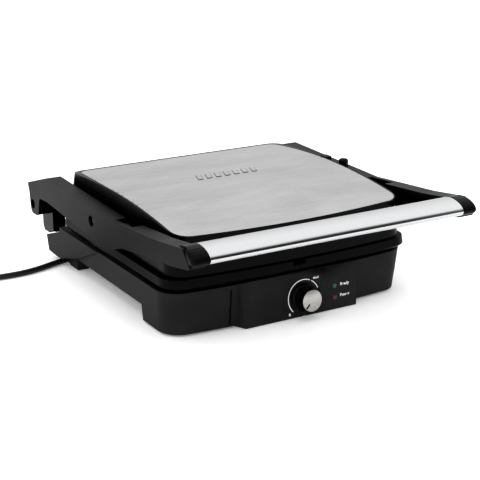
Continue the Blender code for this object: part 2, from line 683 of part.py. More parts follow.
def base_heater():
    """Reflector tray and sheathed element under the lower plate."""
    half = BASE_HALF_W - 0.0185
    tray = box("lower_reflector", (BODY_X - half, BODY_X + half),
               (ARCH_FRONT_Y + 0.0050, LEDGE_Y - 0.0100), (ARCH_Z + 0.0080, ARCH_Z + 0.0092))
    paint(tray, "aluminised sheet")
    wire = tube("lower_element", element_route(
        PLATE_WELL_Z - 0.0170, PLATE_WELL_HALF_W - 0.0200, PLATE_WELL_FRONT_Y + 0.0250,
        PLATE_WELL_REAR_Y - 0.0100), ELEMENT_R)
    paint(wire, "sheathed element")
    block = box("terminal_block", (GLAND_X + 0.0100, GLAND_X + 0.0450), (GLAND_Y, GLAND_Y + 0.0200),
                (WELL_TOP_Z - BLOCK_DROP - BLOCK_HEIGHT, WELL_TOP_Z - BLOCK_DROP))
    paint(block, "white ceramic")


def element_route(z, half_w, front, rear):
    """A squared loop open at the rear, with round corners."""
    corner = 0.030
    path = [(-0.030, rear)] + arc(-half_w + corner, rear - corner, corner, 90, 180, 5)
    path += arc(-half_w + corner, front + corner, corner, 180, 270, 5)
    path += arc(half_w - corner, front + corner, corner, -90, 0, 5)
    path += arc(half_w - corner, rear - corner, corner, 0, 90, 5) + [(0.030, rear)]
    return [(BODY_X + x, y, z) for x, y in path]


def rim_ring(z, half_w, front, rear, corner=0.024, bow=BASE_BOW):
    outline = plan_outline(half_w, front, rear, corner, bow, rear_corner=0.016)
    return [(x, y, z) for x, y in outline]


def ribs(name, z0, z1, flip):
    """A row of parallel grill ribs, joined to a thin web so that they are one tool."""
    low, high = RIB_WIDTH, RIB_WIDTH * 0.55
    if flip:
        low, high = high, low
    half = (RIB_COUNT - 1) / 2
    tools = []
    for i in range(RIB_COUNT):
        x = BODY_X + (i - half) * RIB_PITCH
        ring = []
        for z, width in ((z0, low), (z1, high)):
            ring.append([(x - width / 2, PLATE_WELL_FRONT_Y + 0.004, z),
                         (x + width / 2, PLATE_WELL_FRONT_Y + 0.004, z),
                         (x + width / 2, PLATE_WELL_REAR_Y - 0.004, z),
                         (x - width / 2, PLATE_WELL_REAR_Y - 0.004, z)])
        tools.append(loft(f"{name}_{i + 1}", ring))
    return tools


def lower_plate():
    z0, z1 = PLATE_RIM_Z
    plate = loft("lower_plate", [
        rim_ring(z0, PLATE_HALF_W - 0.003, PLATE_FRONT_Y + 0.003, PLATE_REAR_Y - 0.002),
        rim_ring(z0 + 0.003, PLATE_HALF_W, PLATE_FRONT_Y, PLATE_REAR_Y),
        rim_ring(z1, PLATE_HALF_W - 0.001, PLATE_FRONT_Y + 0.001, PLATE_REAR_Y - 0.001)])
    neck = loft("lower_plate_neck", [
        rim_ring(z, PLATE_WELL_HALF_W + 0.0080, PLATE_WELL_FRONT_Y - 0.0030,
                 PLATE_WELL_REAR_Y + 0.0120, 0.014, 0.004)
        for z in (z0 - 0.0070, z0 + 0.001)])
    join(plate, neck)
    cut(plate, loft("lower_plate_hollow", [
        rim_ring(z, PLATE_WELL_HALF_W + 0.0040, PLATE_WELL_FRONT_Y + 0.0010,
                 PLATE_WELL_REAR_Y + 0.0080, 0.012, 0.004)
        for z in (z0 - 0.0170, PLATE_WELL_Z - 0.004)]))
    cut(plate, loft("lower_plate_well", [
        rim_ring(z, PLATE_WELL_HALF_W, PLATE_WELL_FRONT_Y, PLATE_WELL_REAR_Y, 0.012, 0.004)
        for z in (PLATE_WELL_Z, z1 + 0.01)]))
    for tool in ribs("lower_rib", PLATE_WELL_Z - 0.001, PLATE_WELL_Z + RIB_RISE, False):
        join(plate, tool)
    cut(plate, box("drain_cut", (BODY_X - 0.008, BODY_X + 0.008),
                   (PLATE_FRONT_Y - 0.0120, PLATE_WELL_FRONT_Y + 0.002),
                   (PLATE_WELL_Z + 0.0015, z1 + 0.01)))
    paint(plate, "coated cast aluminium")


# ---------------------------------------------------------------- lid
def lid_ring(z, shrink=0.0):
    """The lid's outline at a height: a straight rim, then walls that lean in."""
    share = max(0.0, (z - LID_RIM_TOP_Z) / (DOME_TOP_Z - LID_RIM_TOP_Z))
    step = 0.0015 if z > LID_RIM_TOP_Z + 0.0001 else 0.0
    half = LID_HALF_W + (LID_TOP_HALF_W - LID_HALF_W) * share - step - shrink
    front = LID_FRONT_Y + (LID_TOP_FRONT_Y - LID_FRONT_Y) * share + step + shrink
    rear = LID_REAR_Y + (LID_TOP_REAR_Y - LID_REAR_Y) * share - step - shrink
    return rim_ring(z, half, front, rear, corner=0.024 - shrink / 2)


def boss_root(side):
    """Inner end of the boss on the lid's side that takes a pivot screw."""
    return BODY_X + side * (LID_HALF_W - 0.0075)


def upper_housing():
    shell = loft("upper_housing", [
        lid_ring(LID_RIM_Z), lid_ring(LID_RIM_TOP_Z), lid_ring(LID_RIM_TOP_Z + 0.0006),
        lid_ring(DOME_TOP_Z + 0.0155)])
    keep_inside(shell, under_dome("roof_limit", 0.0))
    inner = loft("lid_hollow", [lid_ring(LID_RIM_Z - 0.01, LID_WALL),
                                lid_ring(LID_RIM_TOP_Z + 0.0070, LID_WALL + 0.002),
                                lid_ring(DOME_TOP_Z + 0.0155, LID_WALL + 0.002)])
    keep_inside(inner, under_dome("hollow_limit", 0.0045))
    cut(shell, inner)
    seat = floor_plate("cover_seat", cover_outline(GAP), LID_RIM_TOP_Z, DOME_TOP_Z + 0.03)
    cut(seat, under_dome("seat_floor", COVER_T + GAP))
    cut(shell, seat)
    for name, side in SIDES:
        root = boss_root(side)
        join(shell, rod("pivot_boss_" + name, (root, PIVOT_Y, PIVOT_Z), (side, 0, 0),
                        ARM_INNER_X - 0.0006 - abs(root), PIVOT_BOSS_R, segments=28))
        cut(shell, rod("pivot_bore_" + name, (root + side * 0.0012, PIVOT_Y, PIVOT_Z), (side, 0, 0),
                       0.05, PIVOT_SHANK_R + GAP, segments=20))
    paint(shell, "gloss black plastic")


def cover_outline(grow=0.0):
    """The steel cover's plan, slightly narrower at the back."""
    points = plan_outline(COVER_HALF_W + grow, COVER_FRONT_Y - grow, COVER_REAR_Y + grow,
                          0.020, BASE_BOW, rear_corner=0.012, steps=7, front_steps=12)
    spread = []
    for x, y in points:
        back = max(0.0, (y - 0.02) / (COVER_REAR_Y - 0.02))
        spread.append((BODY_X + (x - BODY_X) * (1.0 - 0.045 * back ** 2), y))
    return spread


def steel_cover():
    cover = dome_sheet("steel_cover", 0.0, COVER_T)
    keep_inside(cover, floor_plate("cover_plan", cover_outline(), LID_RIM_TOP_Z, DOME_TOP_Z + 0.03))
    paint(cover, "brushed steel")


def upper_plate():
    z0 = LID_RIM_Z + 0.0006
    half_w, front, rear = LID_HALF_W - 0.0080, LID_FRONT_Y + 0.0080, LID_REAR_Y - 0.0080
    plate = loft("upper_plate", [rim_ring(z, half_w, front, rear, 0.018, 0.006)
                                 for z in (z0, z0 + 0.0085)])
    top = z0 + 0.0050
    cut(plate, loft("upper_plate_well", [
        rim_ring(z, PLATE_WELL_HALF_W, PLATE_WELL_FRONT_Y, PLATE_WELL_REAR_Y, 0.012, 0.004)
        for z in (z0 - 0.01, top)]))
    for tool in ribs("upper_rib", z0 + 0.0008, top + 0.001, True):
        join(plate, tool)
    paint(plate, "coated cast aluminium")
    wire = tube("upper_element", element_route(
        z0 + 0.0085 + ELEMENT_R + GAP, PLATE_WELL_HALF_W - 0.0200, PLATE_WELL_FRONT_Y + 0.0200,
        PLATE_WELL_REAR_Y - 0.0160), ELEMENT_R)
    paint(wire, "sheathed element")
    half = LID_HALF_W - 0.0165
    tray = box("upper_reflector", (BODY_X - half, BODY_X + half),
               (LID_FRONT_Y + 0.0250, LID_REAR_Y - 0.0250), (LID_RIM_Z + 0.0250, LID_RIM_Z + 0.0262))
    paint(tray, "aluminised sheet")


# ---------------------------------------------------------------- arms, bar and hinge
def arm_pocket(name, side, y0, y1, drop, lift):
    """A hollow in the inner side of an arm, following its outline."""
    steps = 8
    ys = [y0 + (y1 - y0) * i / steps for i in range(steps + 1)]
    outline = [(y, arm_edge(y, -1) + lift) for y in ys] + [(y, arm_edge(y, 1) - drop) for y in reversed(ys)]
    inner = side * (ARM_INNER_X - 0.002)
    return side_plate(name, outline, inner, side * (ARM_OUTER_X - ARM_WEB))


def arm_edge(y, sign):
    """Height of an arm's top (sign 1) or bottom (sign -1) edge at a depth."""
    corners = arm_corners()
    edge = corners[2:6] if sign > 0 else [corners[0]] + corners[:10:-1]
    table = [(a, b) for a, b, _ in edge]
    for (ya, za), (yb, zb) in zip(table, table[1:]):
        if y <= yb:
            return za + (zb - za) * (y - ya) / (yb - ya)
    return table[-1][1]


def arm_corners():
    """Outline of an arm seen from the side: (y, z, corner radius), clockwise from under the bar."""
    near_bar = [(BAR_Y + dy, BAR_Z + dz, radius) for dy, dz, radius in (
        (0.0281, -0.0179, 0.0), (-0.0139, -0.0104, 0.003), (0.0031, 0.0081, 0.002), (0.0581, 0.0009, 0.030))]
    waist = [(PIVOT_Y - 0.0550, PIVOT_Z + 0.0146, 0.020)]
    near_hinge = [(HINGE_Y + dy, HINGE_Z + dz, radius) for dy, dz, radius in (
        (-0.0490, 0.0450, 0.006), (0.0152, 0.0247, 0.003), (0.0105, 0.0150, 0.010),
        (0.0070, -0.0130, 0.0085), (-0.0160, -0.0120, 0.007), (-0.0230, 0.0130, 0.006),
        (-0.0480, 0.0140, 0.004))]
    belly = [(PIVOT_Y + dy, PIVOT_Z + dz, radius) for dy, dz, radius in (
        (-0.0170, -0.0219, 0.006), (-0.0520, -0.0194, 0.010), (-0.0830, -0.0094, 0.012))]
    throat = [(BAR_Y + dy, BAR_Z + dz, radius) for dy, dz, radius in (
        (0.0981, -0.0264, 0.006), (0.0621, -0.0219, 0.008))]
    return near_bar + waist + near_hinge + belly + throat


def arm(name, side):
    outline = filleted(arm_corners(), steps=4)
    origin = (side * (ARM_INNER_X + ARM_WIDTH / 2), HINGE_Y, HINGE_Z)
    body = side_plate("arm_" + name, outline, side * ARM_INNER_X, side * ARM_OUTER_X, origin)
    soften(body, 0.0008)
    cut(body, side_plate("cap_scoop_" + name, oval(2 * GAP),
                         side * (ARM_INNER_X - 0.0135), side * (CAP_OUTER_X + GAP)))
    cut(body, arm_pocket("pocket_rear_" + name, side, PIVOT_Y + 0.0380, HINGE_Y - 0.0570, 0.004, 0.0035))
    cut(body, arm_pocket("pocket_front_" + name, side, BAR_Y + 0.0371, PIVOT_Y - 0.0670, 0.004, 0.0035))
    cut(body, rod("arm_hinge_bore_" + name, (side * (ARM_INNER_X - 0.0135), HINGE_Y, HINGE_Z),
                  (side, 0, 0), 0.05, HINGE_PIN_R + GAP, segments=24))
    outer = (side * ARM_OUTER_X, HINGE_Y, HINGE_Z)
    cut(body, rod("arm_hinge_recess_" + name, (outer[0] + side * 0.001, outer[1], outer[2]),
                  (-side, 0, 0), 0.007, HINGE_PIN_R + 0.0022, segments=28))
    pivot = (side * (ARM_OUTER_X + 0.001), PIVOT_Y, PIVOT_Z)
    cut(body, rod("arm_pivot_recess_" + name, pivot, (-side, 0, 0), PIVOT_RECESS + 0.001,
                  PIVOT_RECESS_R, segments=28))
    cut(body, rod("arm_pivot_bore_" + name, pivot, (-side, 0, 0), 0.04, PIVOT_SHANK_R + GAP,
                  segments=20))
    notch = [(PIVOT_Y + dy, PIVOT_Z + dz) for dy, dz in (
        (-0.0940, 0.0136), (-0.1020, 0.0316), (-0.0530, 0.0216), (-0.0530, 0.0096))]
    cut(body, side_plate("flange_notch_" + name, notch, side * (ARM_INNER_X - 0.0085),
                         side * (ARM_INNER_X + 0.0120)))
    if side > 0:
        top = button_seat_z()
        cut(body, rod("button_bore", (BUTTON_X, BUTTON_Y, top + 0.01), (0, 0, -1),
                      BUTTON_BORE + 0.01, BUTTON_R + GAP, segments=28))
        bump = box("release_rib", (origin[0] - 0.0045, origin[0] + 0.0045),
                   (PIVOT_Y + 0.0380, PIVOT_Y + 0.0500), (button_seat_z() - 0.0027, button_seat_z() + 0.0046))
        join(body, bump)
    paint(body, "soft grey-black plastic")


def button_seat_z():
    return arm_edge(BUTTON_Y, 1)


def release_button():
    x = BUTTON_X
    seat = button_seat_z() - BUTTON_BORE
    bottom = seat + BUTTON_TRAVEL + 0.0040
    height = button_seat_z() + BUTTON_PROUD - bottom
    button = turned("release_button", ((0.0, height), (BUTTON_R * 0.55, height - 0.0005),
                    (BUTTON_R * 0.88, height - 0.0018), (BUTTON_R, height - 0.0040),
                    (BUTTON_R, 0.0), (0.0, 0.0)), (x, BUTTON_Y, bottom), (0, 0, 1), 28)
    paint(button, "gloss black plastic")
    turns, per_turn = 3, 12
    low, high = seat + SPRING_WIRE_R + GAP, bottom - SPRING_WIRE_R - GAP
    coil_r = BUTTON_R - 0.0020
    path = []
    for i in range(turns * per_turn + 1):
        a = 2 * math.pi * i / per_turn
        path.append((x + coil_r * math.cos(a), BUTTON_Y + coil_r * math.sin(a),
                     low + (high - low) * i / (turns * per_turn)))
    spring = tube("release_spring", path, SPRING_WIRE_R, 1)
    paint(spring, "zinc-plated steel")


def pins_and_screws():
    for name, side in SIDES:
        start = side * (ARM_INNER_X - POST_CLEAR - POST_WIDTH + 0.001)
        length = ARM_OUTER_X - 0.0065 - abs(start)
        pin = rod("hinge_pin_" + name, (start, HINGE_Y, HINGE_Z), (side, 0, 0), length, HINGE_PIN_R,
                  segments=24)
        paint(pin, "zinc-plated steel")
        head_x = side * (ARM_OUTER_X - PIVOT_RECESS + GAP)
        tip = boss_root(side) + side * 0.0020
        shank = rod("pivot_screw_" + name, (tip, PIVOT_Y, PIVOT_Z), (side, 0, 0),
                    abs(head_x - tip) + 0.001, PIVOT_SHANK_R, segments=20)
        join(shank, turned("pivot_head_" + name, ((0.0, 0.0030), (0.58 * PIVOT_HEAD_R, 0.0028),
                           (0.92 * PIVOT_HEAD_R, 0.0016), (PIVOT_HEAD_R, 0.0), (0.0, 0.0)),
                           (head_x, PIVOT_Y, PIVOT_Z), (side, 0, 0), 24))
        paint(shank, "zinc-plated steel")


def handle_bar():
    bar = side_plate("handle_bar", oval(0.0, 56), -BAR_HALF_LENGTH, BAR_HALF_LENGTH)
    cut(bar, side_plate("bar_hollow", oval(-BAR_WALL, 56), -BEYOND, BEYOND))
    paint(bar, "polished aluminium")
    for name, side in SIDES:
        rings = []
        for x, grow in ((BAR_HALF_LENGTH + GAP, 0.0003), (CAP_OUTER_X - 0.0005, 0.0003),
                        (ARM_OUTER_X - 0.0020, -0.0008), (ARM_OUTER_X - 0.0005, -0.0028),
                        (ARM_OUTER_X, -0.0055)):
            rings.append([(side * x, y, z) for y, z in oval(grow)])
        cap = loft("end_cap_" + name, rings)
        spigot = side_plate("spigot_" + name, oval(-BAR_WALL - GAP),
                            side * (BAR_HALF_LENGTH - 0.0120), side * (BAR_HALF_LENGTH + 0.0030))
        join(cap, spigot)
        rear = BAR_Y + BAR_HALF_DEPTH + 0.0130
        cover = ((rear, BAR_Z - 0.0209), (rear, BAR_Z + 0.0191), (ARM_FRONT_Y - GAP - 0.001, BAR_Z + 0.0111),
                 (ARM_TIP_Y - GAP - 0.001, BAR_Z - 0.0114))
        cut(cap, side_plate("cap_relief_" + name, cover, side * CAP_OUTER_X,
                            side * (ARM_OUTER_X + 0.0075)))
        paint(cap, "gloss black plastic")


# ---------------------------------------------------------------- cord
def catmull(points, per_span):
    """A smooth curve through the route's points."""
    ends = [points[0] * 2 - points[1]] + points + [points[-1] * 2 - points[-2]]
    path = []
    for p0, p1, p2, p3 in zip(ends, ends[1:], ends[2:], ends[3:]):
        for i in range(per_span):
            t = i / per_span
            path.append(0.5 * ((2 * p1) + (p2 - p0) * t + (2 * p0 - 5 * p1 + 4 * p2 - p3) * t ** 2
                               + (3 * p1 - p0 - 3 * p2 + p3) * t ** 3))
    return path + [points[-1]]


def cord():
    relief = turned("strain_relief", ((0.0, GLAND_LENGTH), (0.0042, GLAND_LENGTH), (GLAND_R - 0.0004, 0.0060),
                    (GLAND_R, 0.0050), (GLAND_R, 0.0), (0.0, 0.0)), (GLAND_X + 0.0030, GLAND_Y, GLAND_Z),
                    (-1, 0, -0.055), 28)
    paint(relief, "cord sheath")
    route = [Vector(p) for p in (
        (GLAND_X + 0.0030 - GLAND_LENGTH - 0.0004, GLAND_Y, 0.0068), (-0.1440, 0.1658, 0.0058),
        (-0.1580, 0.1642, 0.0043), (-0.1750, 0.1600, 0.0038), (-0.1940, 0.1535, 0.0036),
        (-0.2110, 0.1490, 0.0036), (-0.2270, 0.1472, 0.0036), (-0.2420, 0.1475, 0.0036),
        (-0.2560, 0.1486, 0.0036), (-0.2690, 0.1501, 0.0036), (-0.2806, 0.1514, 0.0036))]
    paint(tube("power_cord", catmull(route, 2), CORD_R), "cord sheath")
    inner, outer = COIL_R[0] - CORD_R, COIL_R[1] + CORD_R
    ring = turned("cord_coil", ((outer - 0.0015, 4 * CORD_R), (outer, 4 * CORD_R - 0.0015), (outer, 0.0015),
                  (outer - 0.0015, 0.0), (inner + 0.0015, 0.0), (inner, 0.0015), (inner, 4 * CORD_R - 0.0015),
                  (inner + 0.0015, 4 * CORD_R), (outer - 0.0015, 4 * CORD_R)),
                  (COIL_X, COIL_Y, 0.0001), (0, 0, 1), 56)
    paint(ring, "cord sheath")


def plug():
    """Two-pin plug lying beside the coil, its sleeve towards the cord's last turn."""
    x = COIL_X - COIL_R[1]
    centre = (x, PLUG_Y, PLUG_R + GAP)
    neck, full = PLUG_NOSE, PLUG_NOSE + PLUG_LENGTH
    body = turned("plug", ((0.0, full), (PLUG_R - 0.0010, full), (PLUG_R, full - 0.0010),
                  (PLUG_R, full - 0.0160), (PLUG_R - 0.0035, full - 0.0190), (PLUG_R - 0.0040, neck + 0.0060),
                  (PLUG_R - 0.0070, neck), (0.0068, neck - 0.0010), (CORD_R + 0.0010, 0.0), (0.0, 0.0)),
                  centre, (0, 1, 0), 36)
    paint(body, "moulded black plastic")
    for i, side in enumerate((-1, 1)):
        start = (x + side * PIN_SPACING / 2, PLUG_Y + full - 0.0080, PLUG_R + GAP)
        cut(body, rod(f"pin_bore_{i}", start, (0, 1, 0), 0.02, PIN_R + GAP, segments=20))
        pin = rod(f"plug_pin_{i + 1}", (start[0], start[1] + GAP, start[2]), (0, 1, 0),
                  0.0080 - GAP + PIN_LENGTH, PIN_R, segments=20)
        paint(pin, "zinc-plated steel")


def build():
    start_clean()
    lower_housing()
    base_plate()
    cover_screws()
    feet()
    for name, side in SIDES:
        hinge_post(name, side)
        arm(name, side)
    thermostat()
    lenses()
    knob()
    base_heater()
    lower_plate()
    upper_housing()
    steel_cover()
    upper_plate()
    release_button()
    pins_and_screws()
    handle_bar()
    cord()
    plug()


build()
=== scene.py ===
"""Looks of a contact grill (panini press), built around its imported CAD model.

Laid out as a Blender add-on: one operator for each piece or group of like pieces, one for the
stage, and a panel that lists them.  Run as a script, main() makes everything in order.
"""
import json
import math

import bmesh
import bpy
from mathutils import Matrix, Vector


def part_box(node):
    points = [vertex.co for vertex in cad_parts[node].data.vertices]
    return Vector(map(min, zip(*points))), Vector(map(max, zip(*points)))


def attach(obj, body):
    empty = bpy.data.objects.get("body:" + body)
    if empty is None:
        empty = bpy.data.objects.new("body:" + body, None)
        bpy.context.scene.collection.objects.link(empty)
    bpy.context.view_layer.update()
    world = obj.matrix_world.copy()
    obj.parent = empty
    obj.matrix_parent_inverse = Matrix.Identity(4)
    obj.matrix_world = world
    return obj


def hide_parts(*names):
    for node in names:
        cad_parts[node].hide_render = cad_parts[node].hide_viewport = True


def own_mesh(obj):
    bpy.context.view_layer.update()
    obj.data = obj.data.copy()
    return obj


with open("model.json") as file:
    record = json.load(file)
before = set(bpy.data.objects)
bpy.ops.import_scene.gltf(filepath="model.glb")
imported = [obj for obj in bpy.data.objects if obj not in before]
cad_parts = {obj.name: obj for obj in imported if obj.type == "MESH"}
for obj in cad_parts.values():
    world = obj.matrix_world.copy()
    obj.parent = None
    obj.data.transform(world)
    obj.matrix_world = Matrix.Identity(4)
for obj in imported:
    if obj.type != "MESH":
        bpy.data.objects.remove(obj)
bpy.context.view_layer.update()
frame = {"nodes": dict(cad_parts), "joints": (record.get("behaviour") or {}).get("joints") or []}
NODES = frame["nodes"]

bl_info = {
    "name": "Contact Grill",
    "version": (1, 0, 0),
    "blender": (4, 5, 0),
    "location": "View3D > Sidebar > Contact Grill",
    "description": "Builds a contact grill with a brushed steel lid around its CAD frame",
    "category": "Add Mesh",
}

JOINTS = {joint["name"]: joint for joint in frame["joints"]}
SIDES = (("left", -1.0), ("right", 1.0))
UP, BACK = Vector((0.0, 0.0, 1.0)), Vector((0.0, 1.0, 0.0))


# ---------------------------------------------------------------- colours and nodes
def linear(code):
    """A six-digit sRGB hex colour as linear RGBA."""
    channels = [int(code[i:i + 2], 16) / 255 for i in (0, 2, 4)]
    return tuple(c / 12.92 if c <= 0.04045 else ((c + 0.055) / 1.055) ** 2.4 for c in channels) + (1.0,)


def put(tree, kind, values=None, **settings):
    """Add a node: settings are its properties, values its inputs, as constants or as links."""
    made = tree.nodes.new(kind)
    for key, value in settings.items():
        setattr(made, key, value)
    for key, value in (values or {}).items():
        if isinstance(value, bpy.types.NodeSocket):
            tree.links.new(value, made.inputs[key])
        else:
            made.inputs[key].default_value = value
    return made


def surface(name, **constants):
    """A new material: its tree, its shader and its object coordinates."""
    mat = bpy.data.materials.new(name)
    mat.use_nodes = True
    tree = mat.node_tree
    shader = tree.nodes["Principled BSDF"]
    for key, value in constants.items():
        shader.inputs[key.replace("_", " ")].default_value = value
    spot = put(tree, "ShaderNodeTexCoord").outputs["Object"]
    return mat, tree, shader, spot


def noise(tree, spot, mm, detail=2.0, roughness=0.5):
    """A noise of 0 to 1 whose features are about this many millimetres across."""
    return put(tree, "ShaderNodeTexNoise", {"Vector": spot, "Scale": 1000.0 / (mm * 2.0),
                                            "Detail": detail, "Roughness": roughness}).outputs["Fac"]


def cells(tree, spot, mm):
    """Distance to the middle of cells this many millimetres across."""
    return put(tree, "ShaderNodeTexVoronoi", {"Vector": spot, "Scale": 1000.0 / mm}).outputs["Distance"]


def stretched(tree, spot, along_x):
    """Coordinates that draw every pattern out along X."""
    placed = put(tree, "ShaderNodeMapping", {"Vector": spot, "Scale": (along_x, 1.0, 1.0)})
    return placed.outputs["Vector"]


def relief(tree, shader, height, strength, metres):
    """Bump the surface by a height of 0 to 1 that stands for that many metres."""
    bump = put(tree, "ShaderNodeBump", {"Strength": strength, "Distance": metres, "Height": height})
    tree.links.new(bump.outputs["Normal"], shader.inputs["Normal"])


def vary(tree, shader, socket, source, low, high, at=(0.3, 0.7)):
    """Drive a shader's input between two numbers by a noise."""
    span = put(tree, "ShaderNodeMapRange", {"Value": source, "From Min": at[0], "From Max": at[1],
                                            "To Min": low, "To Max": high})
    tree.links.new(span.outputs["Result"], shader.inputs[socket])


def blend_colour(tree, shader, source, first, second, at=(0.35, 0.65)):
    """Drive the base colour between two hex colours by a noise."""
    span = put(tree, "ShaderNodeMapRange", {"Value": source, "From Min": at[0], "From Max": at[1]})
    mix = put(tree, "ShaderNodeMix", {"Factor": span.outputs["Result"]}, data_type="RGBA")
    mix.inputs["A"].default_value = linear(first)
    mix.inputs["B"].default_value = linear(second)
    tree.links.new(mix.outputs["Result"], shader.inputs["Base Color"])


def spark_eroded(name, dark, light, roughness, grain_mm=0.7, level=0.5):
    """Moulded plastic from a spark-eroded tool: an even fine grain that breaks up every highlight."""
    mat, tree, shader, spot = surface(name, Specular_IOR_Level=level)
    fine = noise(tree, spot, grain_mm)
    broad = noise(tree, spot, 28.0, 3.0)
    blend_colour(tree, shader, broad, dark, light)
    vary(tree, shader, "Roughness", broad, roughness - 0.03, roughness + 0.04)
    relief(tree, shader, fine, 0.35, 0.00006)
    return mat


def gloss_abs(name, colour, roughness, level):
    """Polished-tool ABS: even gloss with slight waviness from moulding and a few faint rub marks."""
    mat, tree, shader, spot = surface(name, Base_Color=linear(colour), Specular_IOR_Level=level)
    wave = noise(tree, spot, 16.0, 1.5)
    rub = noise(tree, spot, 3.0, 4.0)
    vary(tree, shader, "Roughness", rub, roughness - 0.03, roughness + 0.05)
    relief(tree, shader, wave, 0.10, 0.0004)
    return mat


def lined_abs(name, colour, roughness, level):
    """ABS with fine level lines cut into its tool, which draw light and dark hairlines along it."""
    mat, tree, shader, spot = surface(name, Base_Color=linear(colour), Specular_IOR_Level=level)
    pitch_mm = 1.3
    scale = 1000.0 * math.pi / (10.0 * pitch_mm)
    lines = put(tree, "ShaderNodeTexWave", {"Vector": spot, "Scale": scale, "Distortion": 0.0},
                wave_type="BANDS", bands_direction="Z")
    rub = noise(tree, spot, 4.0, 3.0)
    vary(tree, shader, "Roughness", rub, roughness - 0.04, roughness + 0.05)
    relief(tree, shader, lines.outputs["Fac"], 0.55, 0.00025)
    return mat


def brushed(name, colour, bright, roughness):
    """Metal brushed along X: long hair-fine scratches that smear reflections across the brushing."""
    mat, tree, shader, spot = surface(name, Metallic=1.0, Anisotropic=0.35)
    hair = noise(tree, stretched(tree, spot, 0.02), 0.55, 4.0, 0.7)
    cloud = noise(tree, stretched(tree, spot, 0.35), 14.0, 3.0)
    mixed = put(tree, "ShaderNodeMath", {0: hair, 1: cloud}, operation="ADD").outputs["Value"]
    blend_colour(tree, shader, mixed, colour, bright, at=(0.7, 1.3))
    vary(tree, shader, "Roughness", mixed, roughness - 0.05, roughness + 0.07, at=(0.7, 1.3))
    relief(tree, shader, hair, 0.25, 0.00003)
    return mat


def anodised(name, colour, roughness):
    """Extruded aluminium, polished and anodised: near mirror with faint die lines along its length."""
    mat, tree, shader, spot = surface(name, Metallic=1.0, Base_Color=linear(colour))
    lines = noise(tree, stretched(tree, spot, 0.004), 1.1)
    vary(tree, shader, "Roughness", lines, roughness - 0.03, roughness + 0.04)
    relief(tree, shader, lines, 0.06, 0.00008)
    return mat


def plain_metal(name, dark, light, roughness, grain_mm=2.0):
    """Small metal parts: zinc plate, aluminised sheet or oxidised sheath, slightly cloudy."""
    mat, tree, shader, spot = surface(name, Metallic=1.0)
    cloud = noise(tree, spot, grain_mm, 3.0)
    blend_colour(tree, shader, cloud, dark, light)
    vary(tree, shader, "Roughness", cloud, roughness - 0.06, roughness + 0.08)
    relief(tree, shader, cloud, 0.10, 0.0001)
    return mat


def nonstick(name):
    """Cast aluminium sprayed with a dark non-stick coat: soft sheen, pebbled, with paler flecks."""
    mat, tree, shader, spot = surface(name, Specular_IOR_Level=0.12)
    pebble = noise(tree, spot, 0.8, 3.0)
    blend_colour(tree, shader, cells(tree, spot, 1.6), "222223", "0b0b0c", at=(0.08, 0.16))
    vary(tree, shader, "Roughness", pebble, 0.32, 0.46)
    relief(tree, shader, pebble, 0.35, 0.0001)
    return mat


def soft_pvc(name, colour, roughness):
    """Soft PVC or rubber: dull skin with a fine mottle."""
    mat, tree, shader, spot = surface(name, Base_Color=linear(colour))
    mottle = noise(tree, spot, 0.9)
    vary(tree, shader, "Roughness", mottle, roughness - 0.06, roughness + 0.06)
    relief(tree, shader, mottle, 0.25, 0.00006)
    return mat


def tinted_lens(name, deep, pale):
    """Dyed acrylic: a polished face over fine prisms, paler towards its middle."""
    mat, tree, shader, spot = surface(name, IOR=1.49, Coat_Weight=0.6, Coat_Roughness=0.05)
    prism = cells(tree, spot, 0.9)
    blend_colour(tree, shader, prism, pale, deep, at=(0.1, 0.7))
    vary(tree, shader, "Roughness", prism, 0.08, 0.2)
    relief(tree, shader, prism, 0.2, 0.0001)
    return mat


def screen_ink(name, colour):
    """Pad-printed ink: flat white with the slight unevenness of a thin film."""
    mat, tree, shader, spot = surface(name)
    film = noise(tree, spot, 1.2, 3.0)
    blend_colour(tree, shader, film, "efefef", colour)
    vary(tree, shader, "Roughness", film, 0.45, 0.6)
    return mat


MATERIALS = {}


def make_materials(look):
    """Every finish on the grill, by the short name that the pieces ask for it by."""
    MATERIALS.update({
        "housing": spark_eroded("spark_eroded_black_pbt", look.housing_dark, look.housing_light, 0.50,
                                level=0.12),
        "arm_grey": spark_eroded("satin_glass_filled_nylon", look.arm_dark, look.arm_light, 0.36,
                                 grain_mm=0.6, level=0.13),
        "gloss_black": gloss_abs("polished_black_abs", "060607", 0.22, level=0.2),
        "lid_black": gloss_abs("polished_black_phenolic", "050506", 0.26, level=0.14),
        "lined_black": lined_abs("fine_lined_black_abs", "050506", 0.24, level=0.14),
        "steel": brushed("brushed_stainless_steel", "a9a9a9", "bebebe", 0.28),
        "cap_steel": brushed("brushed_knob_face", "a9a7a4", "c6c4c1", 0.28),
        "bar": anodised("polished_anodised_aluminium", "c9cacb", 0.14),
        "grill_plate": nonstick("nonstick_cast_aluminium"),
        "zinc": plain_metal("bright_zinc_plate", "a8a8a6", "c4c4c2", 0.32),
        "element": plain_metal("oxidised_element_sheath", "5c5650", "77716a", 0.48),
        "reflector": plain_metal("aluminised_sheet", "b9b9b8", "cfcfce", 0.38, 6.0),
        "rubber": soft_pvc("moulded_rubber", "1a1a1a", 0.80),
        "cord": soft_pvc("soft_pvc_sheath", "161617", 0.48),
        "lens_green": tinted_lens("green_acrylic", "123c2e", "3b7a63"),
        "lens_red": tinted_lens("red_acrylic", "3c0c12", "7a1c28"),
        "insulator": spark_eroded("steatite_ceramic", "d8d3c8", "e4e0d6", 0.45),
        "ink": screen_ink("white_pad_print", "fcfcfc"),
    })


# ---------------------------------------------------------------- meshes
def paint(mesh, material):
    """Give a whole mesh one finish."""
    mesh.materials.clear()
    mesh.materials.append(MATERIALS[material])
    for polygon in mesh.polygons:
        polygon.material_index = 0


